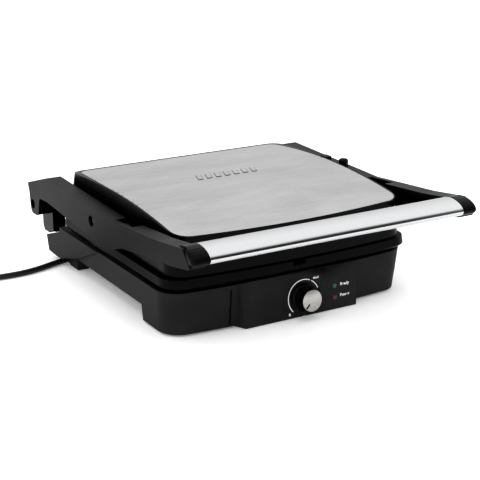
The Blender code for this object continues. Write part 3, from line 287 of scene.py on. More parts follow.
def added(name, data):
    """A new object in the scene."""
    obj = bpy.data.objects.new(name, data)
    bpy.context.scene.collection.objects.link(obj)
    return obj


def finish_node(node, material):
    """Give a carried-over CAD node its finish."""
    paint(NODES[node].data, material)


def piece(name, mesh, material, body, stands_for=(), sharp=32.0):
    """A finished piece of the grill, riding on a body.

    Its shading is smooth with crisp edges, unless the rounding has set its normals.
    """
    paint(mesh, material)
    if not mesh.has_custom_normals:
        mesh.shade_smooth()
        mesh.set_sharp_from_angle(angle=math.radians(sharp))
    obj = added(name, mesh)
    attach(obj, body)
    if stands_for:
        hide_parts(*stands_for)
    return obj


def as_mesh(bm, name):
    """Turn a bmesh into a mesh and free it."""
    mesh = bpy.data.meshes.new(name)
    bm.to_mesh(mesh)
    bm.free()
    return mesh


def bmesh_out(bm, name):
    """Weld, turn faces outwards and return a mesh."""
    bmesh.ops.remove_doubles(bm, verts=bm.verts, dist=1e-6)
    bmesh.ops.recalc_face_normals(bm, faces=bm.faces)
    return as_mesh(bm, name)


def evaluated(obj, remove=True):
    """The object's mesh with its modifiers applied."""
    bpy.context.view_layer.update()
    mesh = bpy.data.meshes.new_from_object(obj.evaluated_get(bpy.context.evaluated_depsgraph_get()))
    mesh.transform(obj.matrix_world)
    if remove:
        bpy.data.objects.remove(obj, do_unlink=True)
    return mesh


def cad_copy(node, flat=0.6):
    """A welded copy of a CAD node's mesh with its flat faces made whole."""
    bm = bmesh.new()
    bm.from_mesh(NODES[node].data)
    bmesh.ops.remove_doubles(bm, verts=bm.verts, dist=2e-6)
    bmesh.ops.dissolve_limit(bm, angle_limit=math.radians(flat), verts=bm.verts, edges=bm.edges)
    return as_mesh(bm, node + "_copy")


def rounded(mesh, width, segments=3, angle=28.0):
    """Round the sharp edges, as a mould or a press leaves them, and keep flat faces flat."""
    mesh.shade_smooth()
    obj = added("work", mesh)
    bevel = obj.modifiers.new("round", "BEVEL")
    bevel.width = width
    bevel.segments = segments
    bevel.limit_method = "ANGLE"
    bevel.angle_limit = math.radians(angle)
    bevel.use_clamp_overlap = True
    even = obj.modifiers.new("even", "WEIGHTED_NORMAL")
    even.mode = "FACE_AREA_WITH_ANGLE"
    even.weight = 80
    return evaluated(obj)


def moulded(name, node, width, segments, material, body, flat=0.6):
    """A piece that is a CAD node with its edges rounded."""
    piece(name, rounded(cad_copy(node, flat), width, segments), material, body, (node,))


def lofted(rings, name, closed=False):
    """Rings of equal count joined by quads, with end faces unless closed on itself."""
    bm = bmesh.new()
    rows = [[bm.verts.new(point) for point in ring] for ring in rings]
    pairs = list(zip(rows, rows[1:])) + ([(rows[-1], rows[0])] if closed else [])
    for low, high in pairs:
        for i in range(len(low)):
            j = (i + 1) % len(low)
            bm.faces.new((low[i], low[j], high[j], high[i]))
    if not closed:
        bm.faces.new(list(reversed(rows[0])))
        bm.faces.new(rows[-1])
    return bmesh_out(bm, name)


def turned(profile, place, name, steps):
    """A profile of (radius, height) turned about the Z axis of a placing matrix."""
    rings = []
    for radius, height in profile:
        size = max(radius, 1e-5)
        rings.append([place @ Vector((size * math.cos(math.tau * i / steps),
                                      size * math.sin(math.tau * i / steps), height))
                      for i in range(steps)])
    return lofted(rings, name)


def joined(meshes, name):
    """Several meshes as one."""
    bm = bmesh.new()
    for mesh in meshes:
        bm.from_mesh(mesh)
    return as_mesh(bm, name)


def cut_by(mesh, tools):
    """Take solids out of a mesh."""
    obj = added("work", mesh)
    for tool in tools:
        mod = obj.modifiers.new("cut", "BOOLEAN")
        mod.object = added("cutter", tool)
        mod.solver = "EXACT"
    result = evaluated(obj, remove=False)
    for mod in obj.modifiers:
        bpy.data.objects.remove(mod.object, do_unlink=True)
    bpy.data.objects.remove(obj, do_unlink=True)
    return result


def slab(size, place, name="slab"):
    """A box centred on a placing matrix."""
    bm = bmesh.new()
    bmesh.ops.create_cube(bm, size=1.0, matrix=place @ Matrix.Diagonal((*size, 1.0)))
    return bmesh_out(bm, name)


def cross_recess(size, place, height, turn):
    """Two crossed slots round a placing matrix's axis, to cut into a screw's head."""
    return [slab(size, place @ Matrix.Rotation(math.radians(angle), 4, "Z")
                 @ Matrix.Translation((0.0, 0.0, height))) for angle in (turn, turn + 90.0)]


def facing(point, normal, up=UP):
    """A matrix whose Z axis is the normal and whose Y axis leans towards up."""
    z = Vector(normal).normalized()
    x = up.cross(z).normalized()
    y = z.cross(x)
    turn = Matrix((x, y, z)).transposed().to_4x4()
    return Matrix.Translation(point) @ turn


# ---------------------------------------------------------------- repeats by Geometry Nodes
def spread_tree(name, circle):
    """A tree that sets copies of its own geometry round a circle or along X, joined into one mesh."""
    tree = bpy.data.node_groups.new(name, "GeometryNodeTree")
    face = tree.interface
    for label, kind in (("Geometry", "Geometry"), ("Count", "Int"),
                        ("Radius" if circle else "Pitch", "Float"), ("Material", "Material")):
        face.new_socket(label, in_out="INPUT", socket_type="NodeSocket" + kind)
    face.new_socket("Geometry", in_out="OUTPUT", socket_type="NodeSocketGeometry")
    given = put(tree, "NodeGroupInput").outputs
    if circle:
        spots = put(tree, "GeometryNodeMeshCircle", {"Vertices": given["Count"],
                                                     "Radius": given["Radius"]})
        index = put(tree, "GeometryNodeInputIndex").outputs["Index"]
        step = put(tree, "ShaderNodeMath", {0: math.tau, 1: given["Count"]}, operation="DIVIDE")
        turn = put(tree, "ShaderNodeMath", {0: index, 1: step.outputs["Value"]}, operation="MULTIPLY")
        angles = put(tree, "ShaderNodeCombineXYZ", {"Z": turn.outputs["Value"]}).outputs["Vector"]
    else:
        offset = put(tree, "ShaderNodeCombineXYZ", {"X": given["Pitch"]}).outputs["Vector"]
        spots = put(tree, "GeometryNodeMeshLine", {"Count": given["Count"], "Offset": offset})
        angles = (0.0, 0.0, 0.0)
    copies = put(tree, "GeometryNodeInstanceOnPoints", {
        "Points": spots.outputs["Mesh"], "Instance": given["Geometry"], "Rotation": angles})
    real = put(tree, "GeometryNodeRealizeInstances", {"Geometry": copies.outputs["Instances"]})
    painted = put(tree, "GeometryNodeSetMaterial", {"Geometry": real.outputs["Geometry"],
                                                    "Material": given["Material"]})
    put(tree, "NodeGroupOutput", {"Geometry": painted.outputs["Geometry"]})
    return tree


def repeated(mesh, tree, count, spacing, material, place):
    """Run a spreading tree on one item and return the plain mesh."""
    obj = added("item", mesh)
    mod = obj.modifiers.new("spread", "NODES")
    mod.node_group = tree
    sockets = {item.name: item.identifier for item in tree.interface.items_tree
               if item.item_type == "SOCKET" and item.in_out == "INPUT"}
    mod[sockets["Count"]] = count
    mod[sockets.get("Radius") or sockets["Pitch"]] = spacing
    mod[sockets["Material"]] = MATERIALS[material]
    result = evaluated(obj)
    result.transform(place)
    return result


# ---------------------------------------------------------------- settings
def tone(name, default):
    """A setting that holds a hex colour."""
    return bpy.props.StringProperty(name=name, description="Six-digit sRGB hex colour", default=default)


def metres(name, description, default, **limits):
    """A setting that holds a length."""
    return bpy.props.FloatProperty(name=name, description=description, default=default,
                                   unit="LENGTH", **limits)


class GrillLook(bpy.types.PropertyGroup):
    """Colours that a user would change."""
    housing_dark: tone("Housing dark", "2b2b2c")
    housing_light: tone("Housing light", "343435")
    arm_dark: tone("Arm dark", "0f0f10")
    arm_light: tone("Arm light", "141415")
    light: bpy.props.FloatProperty(name="Light", description="Brightness of the studio", default=1.0,
                                   min=0.1, max=4.0)


class GrillSizes(bpy.types.PropertyGroup):
    """Sizes of the fine detail."""
    edge: metres("Moulded edge", "Radius of the housing's edges", 0.0011, min=0.0002, max=0.003)
    seam_x: metres("Shut line", "Place of the upright shut line", -0.0890)
    bar_tilt: bpy.props.FloatProperty(name="Bar tilt", description="How far the bar tips down in front",
                                      default=math.radians(8.3), subtype="ANGLE")
    bar_wall: metres("Bar wall", "Wall of the handle bar", 0.0015, min=0.0005, max=0.004)
    knob_ribs: bpy.props.IntProperty(name="Knob ribs", description="Grip ribs round the knob",
                                     default=26, min=8, max=60)
    knob_length: metres("Knob length", "Flange to face of the knob", 0.0185, min=0.01, max=0.03)
    emboss_bars: bpy.props.IntProperty(name="Embossed bars", description="Bars pressed into the lid",
                                       default=7, min=0, max=20)
    crown_y: metres("Crown", "Depth at which the lid is highest", 0.030)
    cord_radius: metres("Cord radius", "Half the cord's diameter", 0.0035, min=0.001, max=0.006)


# ---------------------------------------------------------------- cord
COIL_SPOT = (-0.3030, 0.1990)
COIL_RADII = (0.0385, 0.0455)          # centreline of the inner and the outer turn
COIL_START = math.radians(-93.0)       # where the lead from the grill joins it
STEP_IN, STEP_UP, STEP_OUT = (0.84, 1.0), (1.66, 1.84), (2.52, 2.66)    # in turns from its start
CORD_ROUTE = (
    (-0.1324, 0.1660, 0.0068), (-0.1440, 0.1658, 0.0058), (-0.1580, 0.1642, 0.0043),
    (-0.1750, 0.1600, 0.0038), (-0.1940, 0.1535, 0.0036), (-0.2110, 0.1490, 0.0036),
    (-0.2270, 0.1472, 0.0036), (-0.2420, 0.1475, 0.0036), (-0.2560, 0.1486, 0.0036),
    (-0.2690, 0.1501, 0.0036), (-0.2806, 0.1514, 0.0036))
TURNS = 3.242                          # leaves the coil heading straight for the plug


def ease(value, start, end):
    """0 before start, 1 after end, smooth between."""
    share = min(1.0, max(0.0, (value - start) / (end - start)))
    return share * share * (3 - 2 * share)


def coil_path(radius):
    """Centreline of the stored length: an outer and an inner turn, then the same on top of them."""
    inner, outer = COIL_RADII
    per_turn = 40
    clear, lift = 0.0001, 0.0035       # above the surface, and at the end towards the plug
    points = []
    for i in range(int(TURNS * per_turn) + 1):
        turn = i / per_turn
        far = outer - (outer - inner) * (ease(turn, *STEP_IN) - ease(turn, *STEP_OUT))
        height = radius + clear + 2 * radius * ease(turn, *STEP_UP)
        height += lift * ease(turn, TURNS - 0.18, TURNS)
        angle = COIL_START - math.tau * turn
        points.append(Vector((COIL_SPOT[0] + far * math.cos(angle),
                              COIL_SPOT[1] + far * math.sin(angle), height)))
    return points


def catmull(points, per_span):
    """A smooth curve through the route's points."""
    ends = [points[0] * 2 - points[1]] + points + [points[-1] * 2 - points[-2]]
    path = []
    for p0, p1, p2, p3 in zip(ends, ends[1:], ends[2:], ends[3:]):
        for i in range(per_span):
            t = i / per_span
            path.append(0.5 * ((2 * p1) + (p2 - p0) * t + (2 * p0 - 5 * p1 + 4 * p2 - p3) * t ** 2
                               + (3 * p1 - p0 - 3 * p2 + p3) * t ** 3))
    return path + [points[-1]]


class GRILL_OT_cord(bpy.types.Operator):
    """Mains cord with its stored coil, strain relief and plug"""
    bl_idname = "grill.cord"
    bl_label = "Cord"

    def execute(self, context):
        radius = context.scene.grill_sizes.cord_radius
        coil = coil_path(radius)
        low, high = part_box("plug")
        neck = Vector((COIL_SPOT[0] - COIL_RADII[1], low.y, (low.z + high.z) / 2))
        route = [Vector(p) for p in CORD_ROUTE]
        lead = [coil[-1], coil[-1].lerp(neck, 0.5) + Vector((0.0, 0.0, -0.0002)), neck]
        path = catmull(route + [coil[0]], 4)[:-1] + coil[:-1] + catmull(lead, 5)
        curve = bpy.data.curves.new("mains_cord", "CURVE")
        curve.dimensions = "3D"
        curve.bevel_depth = radius
        curve.bevel_resolution = 6
        curve.use_fill_caps = True
        spline = curve.splines.new("POLY")
        spline.points.add(len(path) - 1)
        for point, spot in zip(spline.points, path):
            point.co = (*spot, 1.0)
        curve.materials.append(MATERIALS["cord"])
        cord = added("mains_cord", curve)
        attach(cord, "base")
        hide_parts("power_cord", "cord_coil")
        body = self.plug(neck)
        self.sleeve()
        for node in ("plug_pin_1", "plug_pin_2"):
            finish_node(node, "zinc")
        return {"FINISHED"}

    def plug(self, start):
        """Round two-pin plug with a waist, a stepped sleeve and grooves for the earth clips."""
        low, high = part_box("plug")
        place = facing(start, BACK)
        full = high.y - low.y
        neck = 0.0280
        r = (high.x - low.x) / 2
        profile = [(0.0, 0.0), (0.0046, 0.0), (0.0049, 0.0004)]
        for i in range(5):
            z, wider = 0.0012 + i * 0.0048, 0.00025 * i
            profile += [(0.0052 + wider, z), (0.0052 + wider, z + 0.0030),
                        (0.0044 + wider, z + 0.0034), (0.0044 + wider, z + 0.0044)]
        profile += [(0.0068, neck - 0.0030), (0.0090, neck - 0.0012), (r - 0.0062, neck + 0.0006),
                    (r - 0.0046, neck + 0.0040), (r - 0.0042, neck + 0.0100),
                    (r - 0.0040, full - 0.0196), (r - 0.0034, full - 0.0182),
                    (r - 0.0006, full - 0.0166), (r, full - 0.0154), (r, full - 0.0012),
                    (r - 0.0004, full - 0.0004), (r - 0.0012, full), (0.0, full)]
        bore_r, bore_at = 0.0030, 0.0095
        tools = []
        for side in (-1.0, 1.0):
            tools.append(slab((0.0060, 0.0040, 0.0140),
                              place @ Matrix.Translation((0.0, side * (r + 0.0006), full - 0.0060))))
            tools.append(turned([(0.0, 0.0), (bore_r, 0.0), (bore_r, 0.02), (0.0, 0.02)],
                                place @ Matrix.Translation((side * bore_at, 0.0, full - 0.0080)),
                                "bore", 24))
        body = cut_by(turned(profile, place, "plug_body", 64), tools)
        return piece("mains_plug", body, "housing", "base", ("plug",), 40.0)

    def sleeve(self):
        """Tapered sleeve where the cord leaves the housing, stepped so that it can bend."""
        start = Vector((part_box("strain_relief")[1].x, 0.1660, 0.0085))
        place = facing(start, Vector((-1.0, 0.0, -0.055)).normalized())
        profile = [(0.0, 0.0), (0.0048, 0.0), (0.0048, 0.0056)]
        for i in range(6):
            z, r = 0.0062 + i * 0.0038, 0.0047 - 0.00006 * i
            profile += [(r, z), (r, z + 0.0024), (r - 0.0005, z + 0.0027), (r - 0.0005, z + 0.0035)]
        profile += [(0.0043, 0.0292), (0.0040, 0.0300), (0.0, 0.0300)]
        piece("cord_sleeve", turned(profile, place, "cord_sleeve", 48), "cord", "base",
              ("strain_relief",), 40.0)


# ---------------------------------------------------------------- stage
CAMERA_LENS, CAMERA_SENSOR = 93.13, 36.0                    # mm
CAMERA_AZIMUTH, CAMERA_ELEVATION = math.radians(30.78), math.radians(18.26)
CAMERA_DISTANCE = 1.5169
CAMERA_TARGET = (0.0072, 0.0070, 0.04774)
FLOOR_GLOW = 0.14
# Directions across the dark screen and towards it, and how dark it is.
SCREEN_ACROSS, SCREEN_FORWARD = (0.871, 0.491, -0.20), (0.491, -0.871, 0.0)
SCREEN_TONE = 0.03
SOFT_BOXES = (("overhead", (-0.2, 0.5, 2.2), 2.4, 9.0),     # name, place, side in metres, watts
              ("left", (-2.2, 0.3, 1.2), 1.6, 4.0))


class GRILL_OT_stage(bpy.types.Operator):
    """Floor, studio light and camera"""
    bl_idname = "grill.stage"
    bl_label = "Stage"

    def execute(self, context):
        scene = context.scene
        camera = bpy.data.cameras.new("camera")
        camera.lens = CAMERA_LENS
        camera.sensor_width = CAMERA_SENSOR
        camera.clip_end = 60.0
        seen = added("camera", camera)
        level = math.cos(CAMERA_ELEVATION)
        away = Vector((-math.sin(CAMERA_AZIMUTH) * level, -math.cos(CAMERA_AZIMUTH) * level,
                       math.sin(CAMERA_ELEVATION)))
        seen.matrix_world = facing(Vector(CAMERA_TARGET) + away * CAMERA_DISTANCE, away)
        scene.camera = seen
        self.floor()
        self.world(scene, scene.grill_look.light)
        self.panels(scene.grill_look.light)
        scene.view_settings.view_transform = "Standard"
        scene.view_settings.look = "High Contrast"
        return {"FINISHED"}

    def floor(self):
        """White floor that glows a little, so that it meets the pale sky without an edge."""
        mat, tree, shader, spot = surface("matt_white_sweep", Roughness=0.9, Specular_IOR_Level=0.1)
        blend_colour(tree, shader, noise(tree, spot, 12.5), "f7f7f7", "f9f9f9")
        shader.inputs["Emission Color"].default_value = (1.0, 1.0, 1.0, 1.0)
        shader.inputs["Emission Strength"].default_value = FLOOR_GLOW
        bm = bmesh.new()
        bmesh.ops.create_grid(bm, x_segments=1, y_segments=1, size=14.0)
        mesh = bmesh_out(bm, "floor")
        mesh.materials.append(mat)
        floor = added("floor", mesh)
        floor.location.z = -0.0002

    def world(self, scene, light):
        """Pale above, greyer near the horizon, with one tall narrow dark screen in front."""
        world = bpy.data.worlds.new("studio")
        world.use_nodes = True
        scene.world = world
        tree = world.node_tree
        shade = tree.nodes["Background"]
        way = put(tree, "ShaderNodeTexCoord").outputs["Generated"]
        up = put(tree, "ShaderNodeSeparateXYZ", {"Vector": way}).outputs["Z"]
        sky = put(tree, "ShaderNodeMapRange", {"Value": up, "From Min": 0.05, "From Max": 0.75,
                                               "To Min": 0.62, "To Max": 1.0})
        across, forward = (put(tree, "ShaderNodeVectorMath", {0: way, 1: axis},
                               operation="DOT_PRODUCT").outputs["Value"]
                           for axis in (SCREEN_ACROSS, SCREEN_FORWARD))
        offset = put(tree, "ShaderNodeMath", {0: across}, operation="ABSOLUTE").outputs["Value"]
        dark = 1.0
        for source, clear, full in ((offset, 0.25, 0.14), (forward, 0.0, 0.2), (up, 0.86, 0.55)):
            share = put(tree, "ShaderNodeMapRange",
                        {"Value": source, "From Min": clear, "From Max": full},
                        interpolation_type="SMOOTHSTEP").outputs["Result"]
            dark = put(tree, "ShaderNodeMath", {0: dark, 1: share},
                       operation="MULTIPLY").outputs["Value"]
        tone = put(tree, "ShaderNodeMix", {0: dark, 2: sky.outputs["Result"], 3: SCREEN_TONE})
        tree.links.new(tone.outputs[0], shade.inputs["Color"])
        shade.inputs["Strength"].default_value = light

    def panels(self, light):
        """Soft boxes: one overhead, one at the left."""
        for name, spot, size, power in SOFT_BOXES:
            data = bpy.data.lights.new(name, "AREA")
            data.shape = "SQUARE"
            data.size = size
            data.energy = power * light
            lamp = added(name, data)
            lamp.matrix_world = facing(Vector(spot), Vector(spot) - 0.05 * UP, BACK)
            lamp.visible_glossy = name == "left"


# ---------------------------------------------------------------- base
class GRILL_OT_base(bpy.types.Operator):
    """Lower housing, underside, feet and hinge posts"""
    bl_idname = "grill.base"
    bl_label = "Base"

    def execute(self, context):
        sizes = context.scene.grill_sizes
        shell = cut_by(rounded(cad_copy("lower_housing"), sizes.edge), [self.seam(sizes)])
        piece("housing_shell", shell, "housing", "base", ("lower_housing",))
        moulded("underside_cover", "bottom_cover", 0.0003, 2, "housing", "base")
        for node in ("foot_front_left", "foot_front_right", "foot_rear_left", "foot_rear_right"):
            moulded(node + "_pad", node, 0.0005, 3, "rubber", "base")
        for side, _ in SIDES:
            moulded("post_" + side, "hinge_post_" + side, 0.0006, 2, "lid_black", "base")
        for node, material in (("thermostat", "zinc"), ("lamp_board", "insulator"),
                               ("terminal_block", "insulator"), ("lower_reflector", "reflector"),
                               ("lower_element", "element")):
            finish_node(node, material)
        return {"FINISHED"}

    def seam(self, sizes):
        """Upright shut line in the front wall, left of the control box, leaning with the wall."""
        low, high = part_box("lower_housing")
        foot = Vector((sizes.seam_x, low.y + 0.0108, low.z + 0.0040))
        head = Vector((sizes.seam_x, low.y + 0.0068, high.z - 0.0060))
        along = head - foot
        place = facing((foot + head) / 2, along, BACK)
        return slab((0.0024, 0.0050, along.length), place, "seam")


class GRILL_OT_plates(bpy.types.Operator):
    """Ribbed grill plates, coated, with their elements"""
    bl_idname = "grill.plates"
    bl_label = "Plates"

    def execute(self, context):
        moulded("plate_lower", "lower_plate", 0.0008, 3, "grill_plate", "base")
        moulded("plate_upper", "upper_plate", 0.0006, 2, "grill_plate", "lid")
        finish_node("upper_element", "element")
        finish_node("upper_reflector", "reflector")
        return {"FINISHED"}


# ---------------------------------------------------------------- dial
ZERO_MARK, SCALE_END = math.radians(225.0), math.radians(22.0)  # anticlockwise from the right
SCALE_BREAK, SCALE_GAP = math.radians(62.0), math.radians(5.0)
SCALE_R, SCALE_HALF_WIDTH = 0.0207, 0.00060
FLANGE_R, GRIP_R, FACE_R = 0.0165, 0.0139, 0.0127
POINTER_AT = 0.0085                    # middle of the pointer's slot, from the knob's axis
PRINT = (("0", 0.0046, (-0.0195, -0.0173)), ("MAX", 0.0036, (0.0172, 0.0200)),  # word, height, place
         ("Ready", 0.0050, (0.0562, 0.0062)), ("Power", 0.0050, (0.0562, -0.0068)))


def panel_place():
    """A matrix on the dial's axis at the control box's face, Z out of it and Y up along it."""
    joint = JOINTS["knob_turn"]
    return facing(Vector(joint["pos_m"]), -Vector(joint["axis"]))


def lettering(words, height, at, place):
    """Raised print: a word as a thin mesh, centred on a point of a placing matrix."""
    font = bpy.data.curves.new("word", "FONT")
    font.body = words
    font.size = height
    font.align_x = "CENTER"
    font.align_y = "CENTER"
    font.extrude = 0.00004
    font.offset = 0.00014
    mesh = evaluated(added("word", font))
    mesh.transform(place @ Matrix.Translation((*at, 0.00005)))
    return mesh


class GRILL_OT_dial(bpy.types.Operator):
    """Thermostat knob, its printed scale and the two lamps"""
    bl_idname = "grill.dial"
    bl_label = "Dial"

    def execute(self, context):
        place = panel_place()
        self.knob(context.scene.grill_sizes, place)
        self.print_scale(place)
        for node, label, material in (("lens_ready", "lamp_ready", "lens_green"),
                                      ("lens_power", "lamp_power", "lens_red")):
            low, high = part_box(node)
            r = (high.x - low.x) / 2
            offset = (low + high) / 2 - place.translation
            spot = place @ Matrix.Translation((offset.x, offset.z + 0.0002, 0.0))
            dome = [(0.0, -0.0050), (r, -0.0050), (r, 0.0001), (r * 0.96, 0.0004), (r * 0.8, 0.0007),
                    (r * 0.5, 0.0009), (0.0, 0.0010)]
            piece(label, turned(dome, spot, label, 40), material, "base", (node,), 50.0)
        return {"FINISHED"}

    def knob(self, sizes, place):
        """Conical grip with ribs, a flange and a brushed disc with a pointer."""
        long = sizes.knob_length
        at = place @ Matrix.Translation((0.0, 0.0, -0.0009))
        grip = turned([(0.0, 0.0), (FLANGE_R, 0.0), (FLANGE_R, 0.0026), (FLANGE_R - 0.0003, 0.0030),
                       (0.0146, 0.0036), (GRIP_R, 0.0042), (0.0132, long - 0.0006),
                       (0.01325, long - 0.0002), (0.01335, long), (0.01295, long),
                       (0.01295, long - 0.0008), (0.0, long - 0.0008)], at, "grip", 96)
        foot, taper = 0.0038, 0.0007
        tall = long - 0.0046
        rib = slab((0.0011, 0.0010, tall), Matrix.Translation((0.0, 0.0, foot + tall / 2)), "rib")
        for vertex in rib.vertices:
            vertex.co.x -= taper * (vertex.co.z - foot) / tall
            if vertex.co.x > -0.0003:
                vertex.co.y *= 0.55
        teeth = repeated(rounded(rib, 0.0002, 2), spread_tree("ring_of_items", True), sizes.knob_ribs,
                         GRIP_R, "gloss_black", at)
        piece("knob_grip", joined([grip, teeth], "knob_grip"), "gloss_black", "knob",
              ("knob",), 38.0)
        seat = long - 0.0010
        disc = turned([(0.0, seat), (FACE_R, seat), (FACE_R + 0.0001, seat + 0.0006),
                       (FACE_R - 0.0001, seat + 0.0010), (0.0121, seat + 0.00115),
                       (0.0, seat + 0.0014)], at, "disc", 96)
        slot_at = at @ Matrix.Rotation(ZERO_MARK, 4, "Z")
        slot_and_painted_shade = slab((0.0068, 0.0020, 0.0012),
                      slot_at @ Matrix.Translation((POINTER_AT, 0.0, seat + 0.0014)))
        piece("knob_face", cut_by(disc, [slot_and_painted_shade]), "cap_steel", "knob", ("knob_cap",), 38.0)
        fill = slab((0.0066, 0.0018, 0.0006),
                    slot_at @ Matrix.Translation((POINTER_AT, 0.0, seat + 0.0008)))
        piece("knob_pointer", rounded(fill, 0.0001, 1), "gloss_black", "knob")

    def print_scale(self, place):
        """White scale arc with a break, and the words beside dial and lamps."""
        inner, outer, thick = SCALE_R - SCALE_HALF_WIDTH, SCALE_R + SCALE_HALF_WIDTH, 0.00009
        section = ((inner, 0.0), (outer, 0.0), (outer, thick), (inner, thick))
        parts = []
        for start, end in ((ZERO_MARK, SCALE_BREAK + SCALE_GAP / 2),
                           (SCALE_BREAK - SCALE_GAP / 2, SCALE_END)):
            steps = max(4, int(abs(start - end) / math.radians(2.0)))
            rings = []
            for i in range(steps + 1):
                a = start + (end - start) * i / steps
                rings.append([place @ Vector((r * math.cos(a), r * math.sin(a), z - 0.00001))
                              for r, z in section])
            parts.append(lofted(rings, "arc"))
        parts += [lettering(word, height, at, place) for word, height, at in PRINT]
        piece("dial_print", joined(parts, "dial_print"), "ink", "base")


# ---------------------------------------------------------------- lid
COVER_FRONT, COVER_REAR = -0.1340, 0.1380
COVER_BOW = 0.0070                     # of the front edge, forward of the corners' tangent
COVER_CORNER, COVER_REAR_CORNER = 0.0200, 0.0120
COVER_TAPER, TAPER_FROM = 0.045, 0.02  # share of the width lost at the rear, and where that starts
FRONT_FALL, REAR_FALL = 0.0135, 0.0045  # of the roof, from its crown
SHEET = 0.0010
BEAD_R, BEAD_OUT, BEAD_DROP = 0.00055, 0.0012, 0.0003  # radius, past the cover, below the roof
BAR_LEAN = 0.35
BAR_PITCH, ROW_X, ROW_Y = 0.0125, 0.0040, 0.0240    # ROW_X is from the cover's middle


def roof(y, crown_y, top):
    """Height of the lid's roof at a depth, falling from its crown to the cover's front and rear."""
    if y > crown_y:
        return top - REAR_FALL * ((y - crown_y) / (COVER_REAR - crown_y)) ** 2
    return top - FRONT_FALL * ((crown_y - y) / (crown_y - COVER_FRONT)) ** 2


def cover_rows(half, grow):
    """Half of the steel cover's plan from its front to its rear, as pairs of depth and half-width."""
    front, rear = COVER_FRONT - grow, COVER_REAR + grow
    corner, back = COVER_CORNER + grow, COVER_REAR_CORNER + grow
    half += grow
    flat = half - corner
    rows = []
    for i in range(14):
        x = flat * math.sin(math.pi / 2 * (i + 1) / 14)
        rows.append((front - COVER_BOW * (1 - (x / flat) ** 2), x))
    for i in range(1, 17):
        a = math.radians(-90 + 90 * i / 16)
        rows.append((front + corner + corner * math.sin(a), flat + corner * math.cos(a)))
    for i in range(1, 60):
        rows.append((front + corner + (rear - back - front - corner) * i / 60, half))
    for i in range(1, 13):
        a = math.radians(90 * i / 12)
        rows.append((rear - back + back * math.sin(a), half - back + back * math.cos(a)))
    span = COVER_REAR - TAPER_FROM
    return [(y, x * (1.0 - COVER_TAPER * max(0.0, (y - TAPER_FROM) / span) ** 2)) for y, x in rows]


def slanted_bar(wide, deep, tall):
    """One bar of the embossed row, leaning like an italic stroke."""
    bar = slab((wide, deep, tall), Matrix.Identity(4), "bar")
    for vertex in bar.vertices:
        vertex.co.x += BAR_LEAN * vertex.co.y
    return bar


class GRILL_OT_lid(bpy.types.Operator):
    """Black lid shell and its bent steel cover with an embossed row of bars"""
    bl_idname = "grill.lid"
    bl_label = "Lid"

    def execute(self, context):
        sizes = context.scene.grill_sizes
        moulded("lid_shell", "upper_housing", 0.0010, 3, "lid_black", "lid")
        low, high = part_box("steel_cover")
        half, middle = (high.x - low.x) / 2, (high.x + low.x) / 2
        sheet = self.sheet(half, middle, sizes.crown_y, high.z)
        self.bead(half, middle, sizes.crown_y, high.z)
        start = Matrix.Translation((middle + ROW_X - BAR_PITCH * (sizes.emboss_bars - 1) / 2, ROW_Y,
                                    roof(ROW_Y, sizes.crown_y, high.z) + 0.00005))
        tree = spread_tree("row_of_items", False)
        bar = rounded(slanted_bar(0.0064, 0.0168, 0.0012), 0.0004, 2)
        bars = repeated(bar, tree, sizes.emboss_bars, BAR_PITCH, "steel", start)
        piece("lid_cover", joined([sheet, bars], "lid_cover"), "steel", "lid",
              ("steel_cover",))
        # Painted shade: a thin black sheet, a little wider and longer than each bar, laid on the steel
        # under the row so that a dark outline stands round every bar.
        slot_and_painted_shade = slanted_bar(0.0074, 0.0178, 0.0002)
        shadow = repeated(slot_and_painted_shade, tree, sizes.emboss_bars, BAR_PITCH, "lid_black", start)
        piece("emboss_painted_shade", shadow, "lid_black", "lid")
        return {"FINISHED"}

    def sheet(self, half, middle, crown_y, top):
        """Thin sheet, bent front to back, with rounded corners and a softly rolled edge."""
        bm = bmesh.new()
        levels = []
        for y, x in cover_rows(half, 0.0):
            z = roof(y, crown_y, top)
            levels.append([bm.verts.new((middle + side * x, y, z - drop))
                           for drop in (0.0, SHEET) for side in (-1.0, 1.0)])
        for a, b in zip(levels, levels[1:]):
            bm.faces.new((a[0], a[1], b[1], b[0]))
            bm.faces.new((a[2], b[2], b[3], a[3]))
            bm.faces.new((a[1], a[3], b[3], b[1]))
            bm.faces.new((a[0], b[0], b[2], a[2]))
        bm.faces.new((levels[0][0], levels[0][2], levels[0][3], levels[0][1]))
        bm.faces.new((levels[-1][0], levels[-1][1], levels[-1][3], levels[-1][2]))
        return rounded(bmesh_out(bm, "sheet"), 0.00035, 3, 50.0)

    def bead(self, half, middle, crown_y, top):
        """Thin moulded bead on the black shell that frames the cover."""
        rows = cover_rows(half, BEAD_OUT)
        path = [Vector((middle - x, y, 0.0)) for y, x in reversed(rows)]
        path += [Vector((middle + x, y, 0.0)) for y, x in rows]
        for spot in path:
            spot.z = roof(spot.y, crown_y, top) - BEAD_DROP
        rings = []
        for i, spot in enumerate(path):
            along = (path[(i + 1) % len(path)] - path[i - 1]).normalized()
            side = along.cross(UP).normalized()
            up = side.cross(along)
            rings.append([spot + side * (BEAD_R * math.cos(a)) + up * (BEAD_R * math.sin(a))
                          for a in (math.tau * k / 8 for k in range(8))])
        piece("cover_bead", lofted(rings, "bead", closed=True), "gloss_black", "lid")


